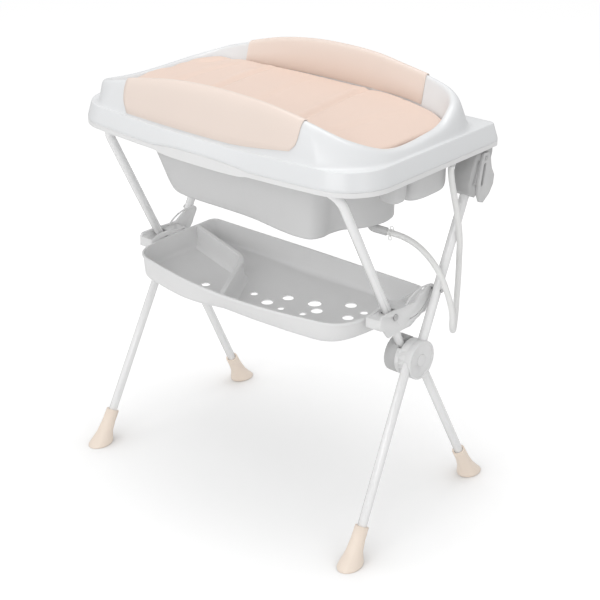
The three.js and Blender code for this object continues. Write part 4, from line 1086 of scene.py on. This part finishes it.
def trayCorners(angle, outline):
    # the tray's section: its turned-down lip, its rim, the leaning wall and the floor
    rim = reachTo(outline, tray["middle"], angle)
    start, run = tray["leanTurn"]
    share = clamp((math.cos(angle) + start) / run)
    frontLean = mix(*tray["frontLean"], share * share * (3 - 2 * share))
    lean = mix(mix(*tray["rearLean"], share), frontLean, clamp(-tray["frontGain"] * math.sin(angle)))
    floor = tray["rim"] - tray["depth"] + tray["wall"]
    kneeIn, kneeUp = tray["knee"]
    return [(rim + tray["lip"], tray["rim"] - tray["lipDrop"]), (rim + tray["lip"], tray["rim"]),
            (rim, tray["rim"]), (rim - lean * kneeIn, floor + kneeUp), (rim - lean, floor),
            (rim * 0.5, floor), (0, floor)]


def dividerForm():
    # an upright wall along a bent plan, flared into the floor and rounded along its top
    wall = tray["divider"]
    thick, flare = wall["thick"] / 2, wall["flare"]
    floor = tray["rim"] - tray["depth"] + tray["wall"] / 2
    height = tray["rim"] - 1.5
    half = [(thick + flare, floor - 2), (thick + flare, floor + tray["wall"] / 2),
            (thick, floor + flare + 3), (thick, height), (0, height)]
    section = rounded(half, (0.5, flare, wall["topRound"]))
    section += [Vector((-spot.x, spot.y)) for spot in reversed(section[:-1])]
    plan = rounded(wall["plan"], (wall["bend"],), steps=8)
    rows = [[(place.x, place.y + tray["middle"], spot.y) for place in shifted(plan, spot.x)]
            for spot in section]
    piece = sheetOf("divider", rows)
    inEdit(piece, (bpy.ops.mesh.region_to_loop, {}), (bpy.ops.mesh.fill_holes, {"sides": 0}),
           (bpy.ops.mesh.select_all, {"action": "SELECT"}),
           (bpy.ops.mesh.normals_make_consistent, {"inside": False}))
    return piece


def makeTray():
    outline = trayOutline()
    intoWall = Vector((tray["wall"] / 2, -tray["wall"] / 2))
    rows, filled = [], []
    for angle in headings:
        corners = trayCorners(angle, outline)
        rows.append([onRay(angle, tray["middle"], spot) for spot in rounded(corners, tray["reaches"])])
        inner = [spot + intoWall for spot in rounded(corners[2:], tray["reaches"][2:])]
        inner[-1].x = 0
        filled.append([(0, tray["middle"], tray["rim"] - tray["wall"] / 2),
                       *(onRay(angle, tray["middle"], spot) for spot in inner)])
    piece = walled(sheetOf("tray_fine", rows), tray["wall"])
    # the divider is kept to the space between the tray's walls
    space = sheetOf("tray_space", filled)
    facedOut(space)
    wall = dividerForm()
    cut(wall, space, "INTERSECT")
    cut(piece, wall, "UNION")
    floor = tray["rim"] - tray["depth"]
    drills = [cylinder((x, tray["middle"] + y, floor - 6), (x, tray["middle"] + y, floor + 8), radius, 36)
              for x, y, radius in tray["holes"]]
    cut(piece, mergedWith(drills[0], drills[1:]))
    smoothed(piece, 38)
    # the tray takes the paler grey: painted light that brightens it in the shade under the tub
    dressed(piece, "tray", "tray", slot="grey_plastic", finish="lit_grey_plastic")


makeTray()
print("tray ready")

rail = {"side": 345.2, "radius": 2.0, "path": ((-24, 492), (-14, 507), (1, 519), (31, 529), (64, 528))}


def makeBrackets():
    # each end bracket has a raised rail on its inner face, along the way its guide pin travels
    for side, node in ((-1, "tray_bracket_left"), (1, "tray_bracket_right")):
        # bracket and rail take the paler grey, painted light
        piece = turned(node, finish="lit_grey_plastic")
        marks = smoothThrough([Vector((side * rail["side"], y, z)) for y, z in rail["path"]], 5)
        lengths = [cylinder(a, b, rail["radius"], 16) for a, b in zip(marks, marks[1:])]
        for length in lengths:
            length.data.materials.append(finishes["lit_grey_plastic"])
            smoothed(length, 40)
        mergedWith(piece, lengths)


makeBrackets()


def makeButtons():
    # the release buttons sit almost flush in the faces of the hubs
    deep, kept = 2.5 * mm, 0.35
    for node in ("hub_button_left", "hub_button_right"):
        # the buttons take the paler grey, painted light
        piece = turned(node, finish="lit_grey_plastic")
        face = max(abs(spot.co.x) for spot in piece.data.vertices) - deep
        for spot in piece.data.vertices:
            if abs(spot.co.x) > face:
                spot.co.x = math.copysign(face + kept * (abs(spot.co.x) - face), spot.co.x)


makeButtons()

# every other piece keeps its imported shape, with its edges broken
# lit and shaded copies of the plastics: painted light on the outer hubs, caps and feet; the darker grey on the
# inner hubs, partly painted shade, and on the rear catches
lightAndShadeTints = {"hub_inner": "dark_and_shaded_plastic", "hub_outer": "lit_grey_plastic", "hub_cap": "lit_grey_plastic",
         "rear_catch": "dark_and_shaded_plastic", "front_foot": "lit_cream_peach", "rear_foot": "lit_cream_peach"}
for node in nodes:
    if node not in shown:
        turned(node, finish=next((lightAndShadeTints[start] for start in lightAndShadeTints if node.startswith(start)), None))
print("hard pieces ready")
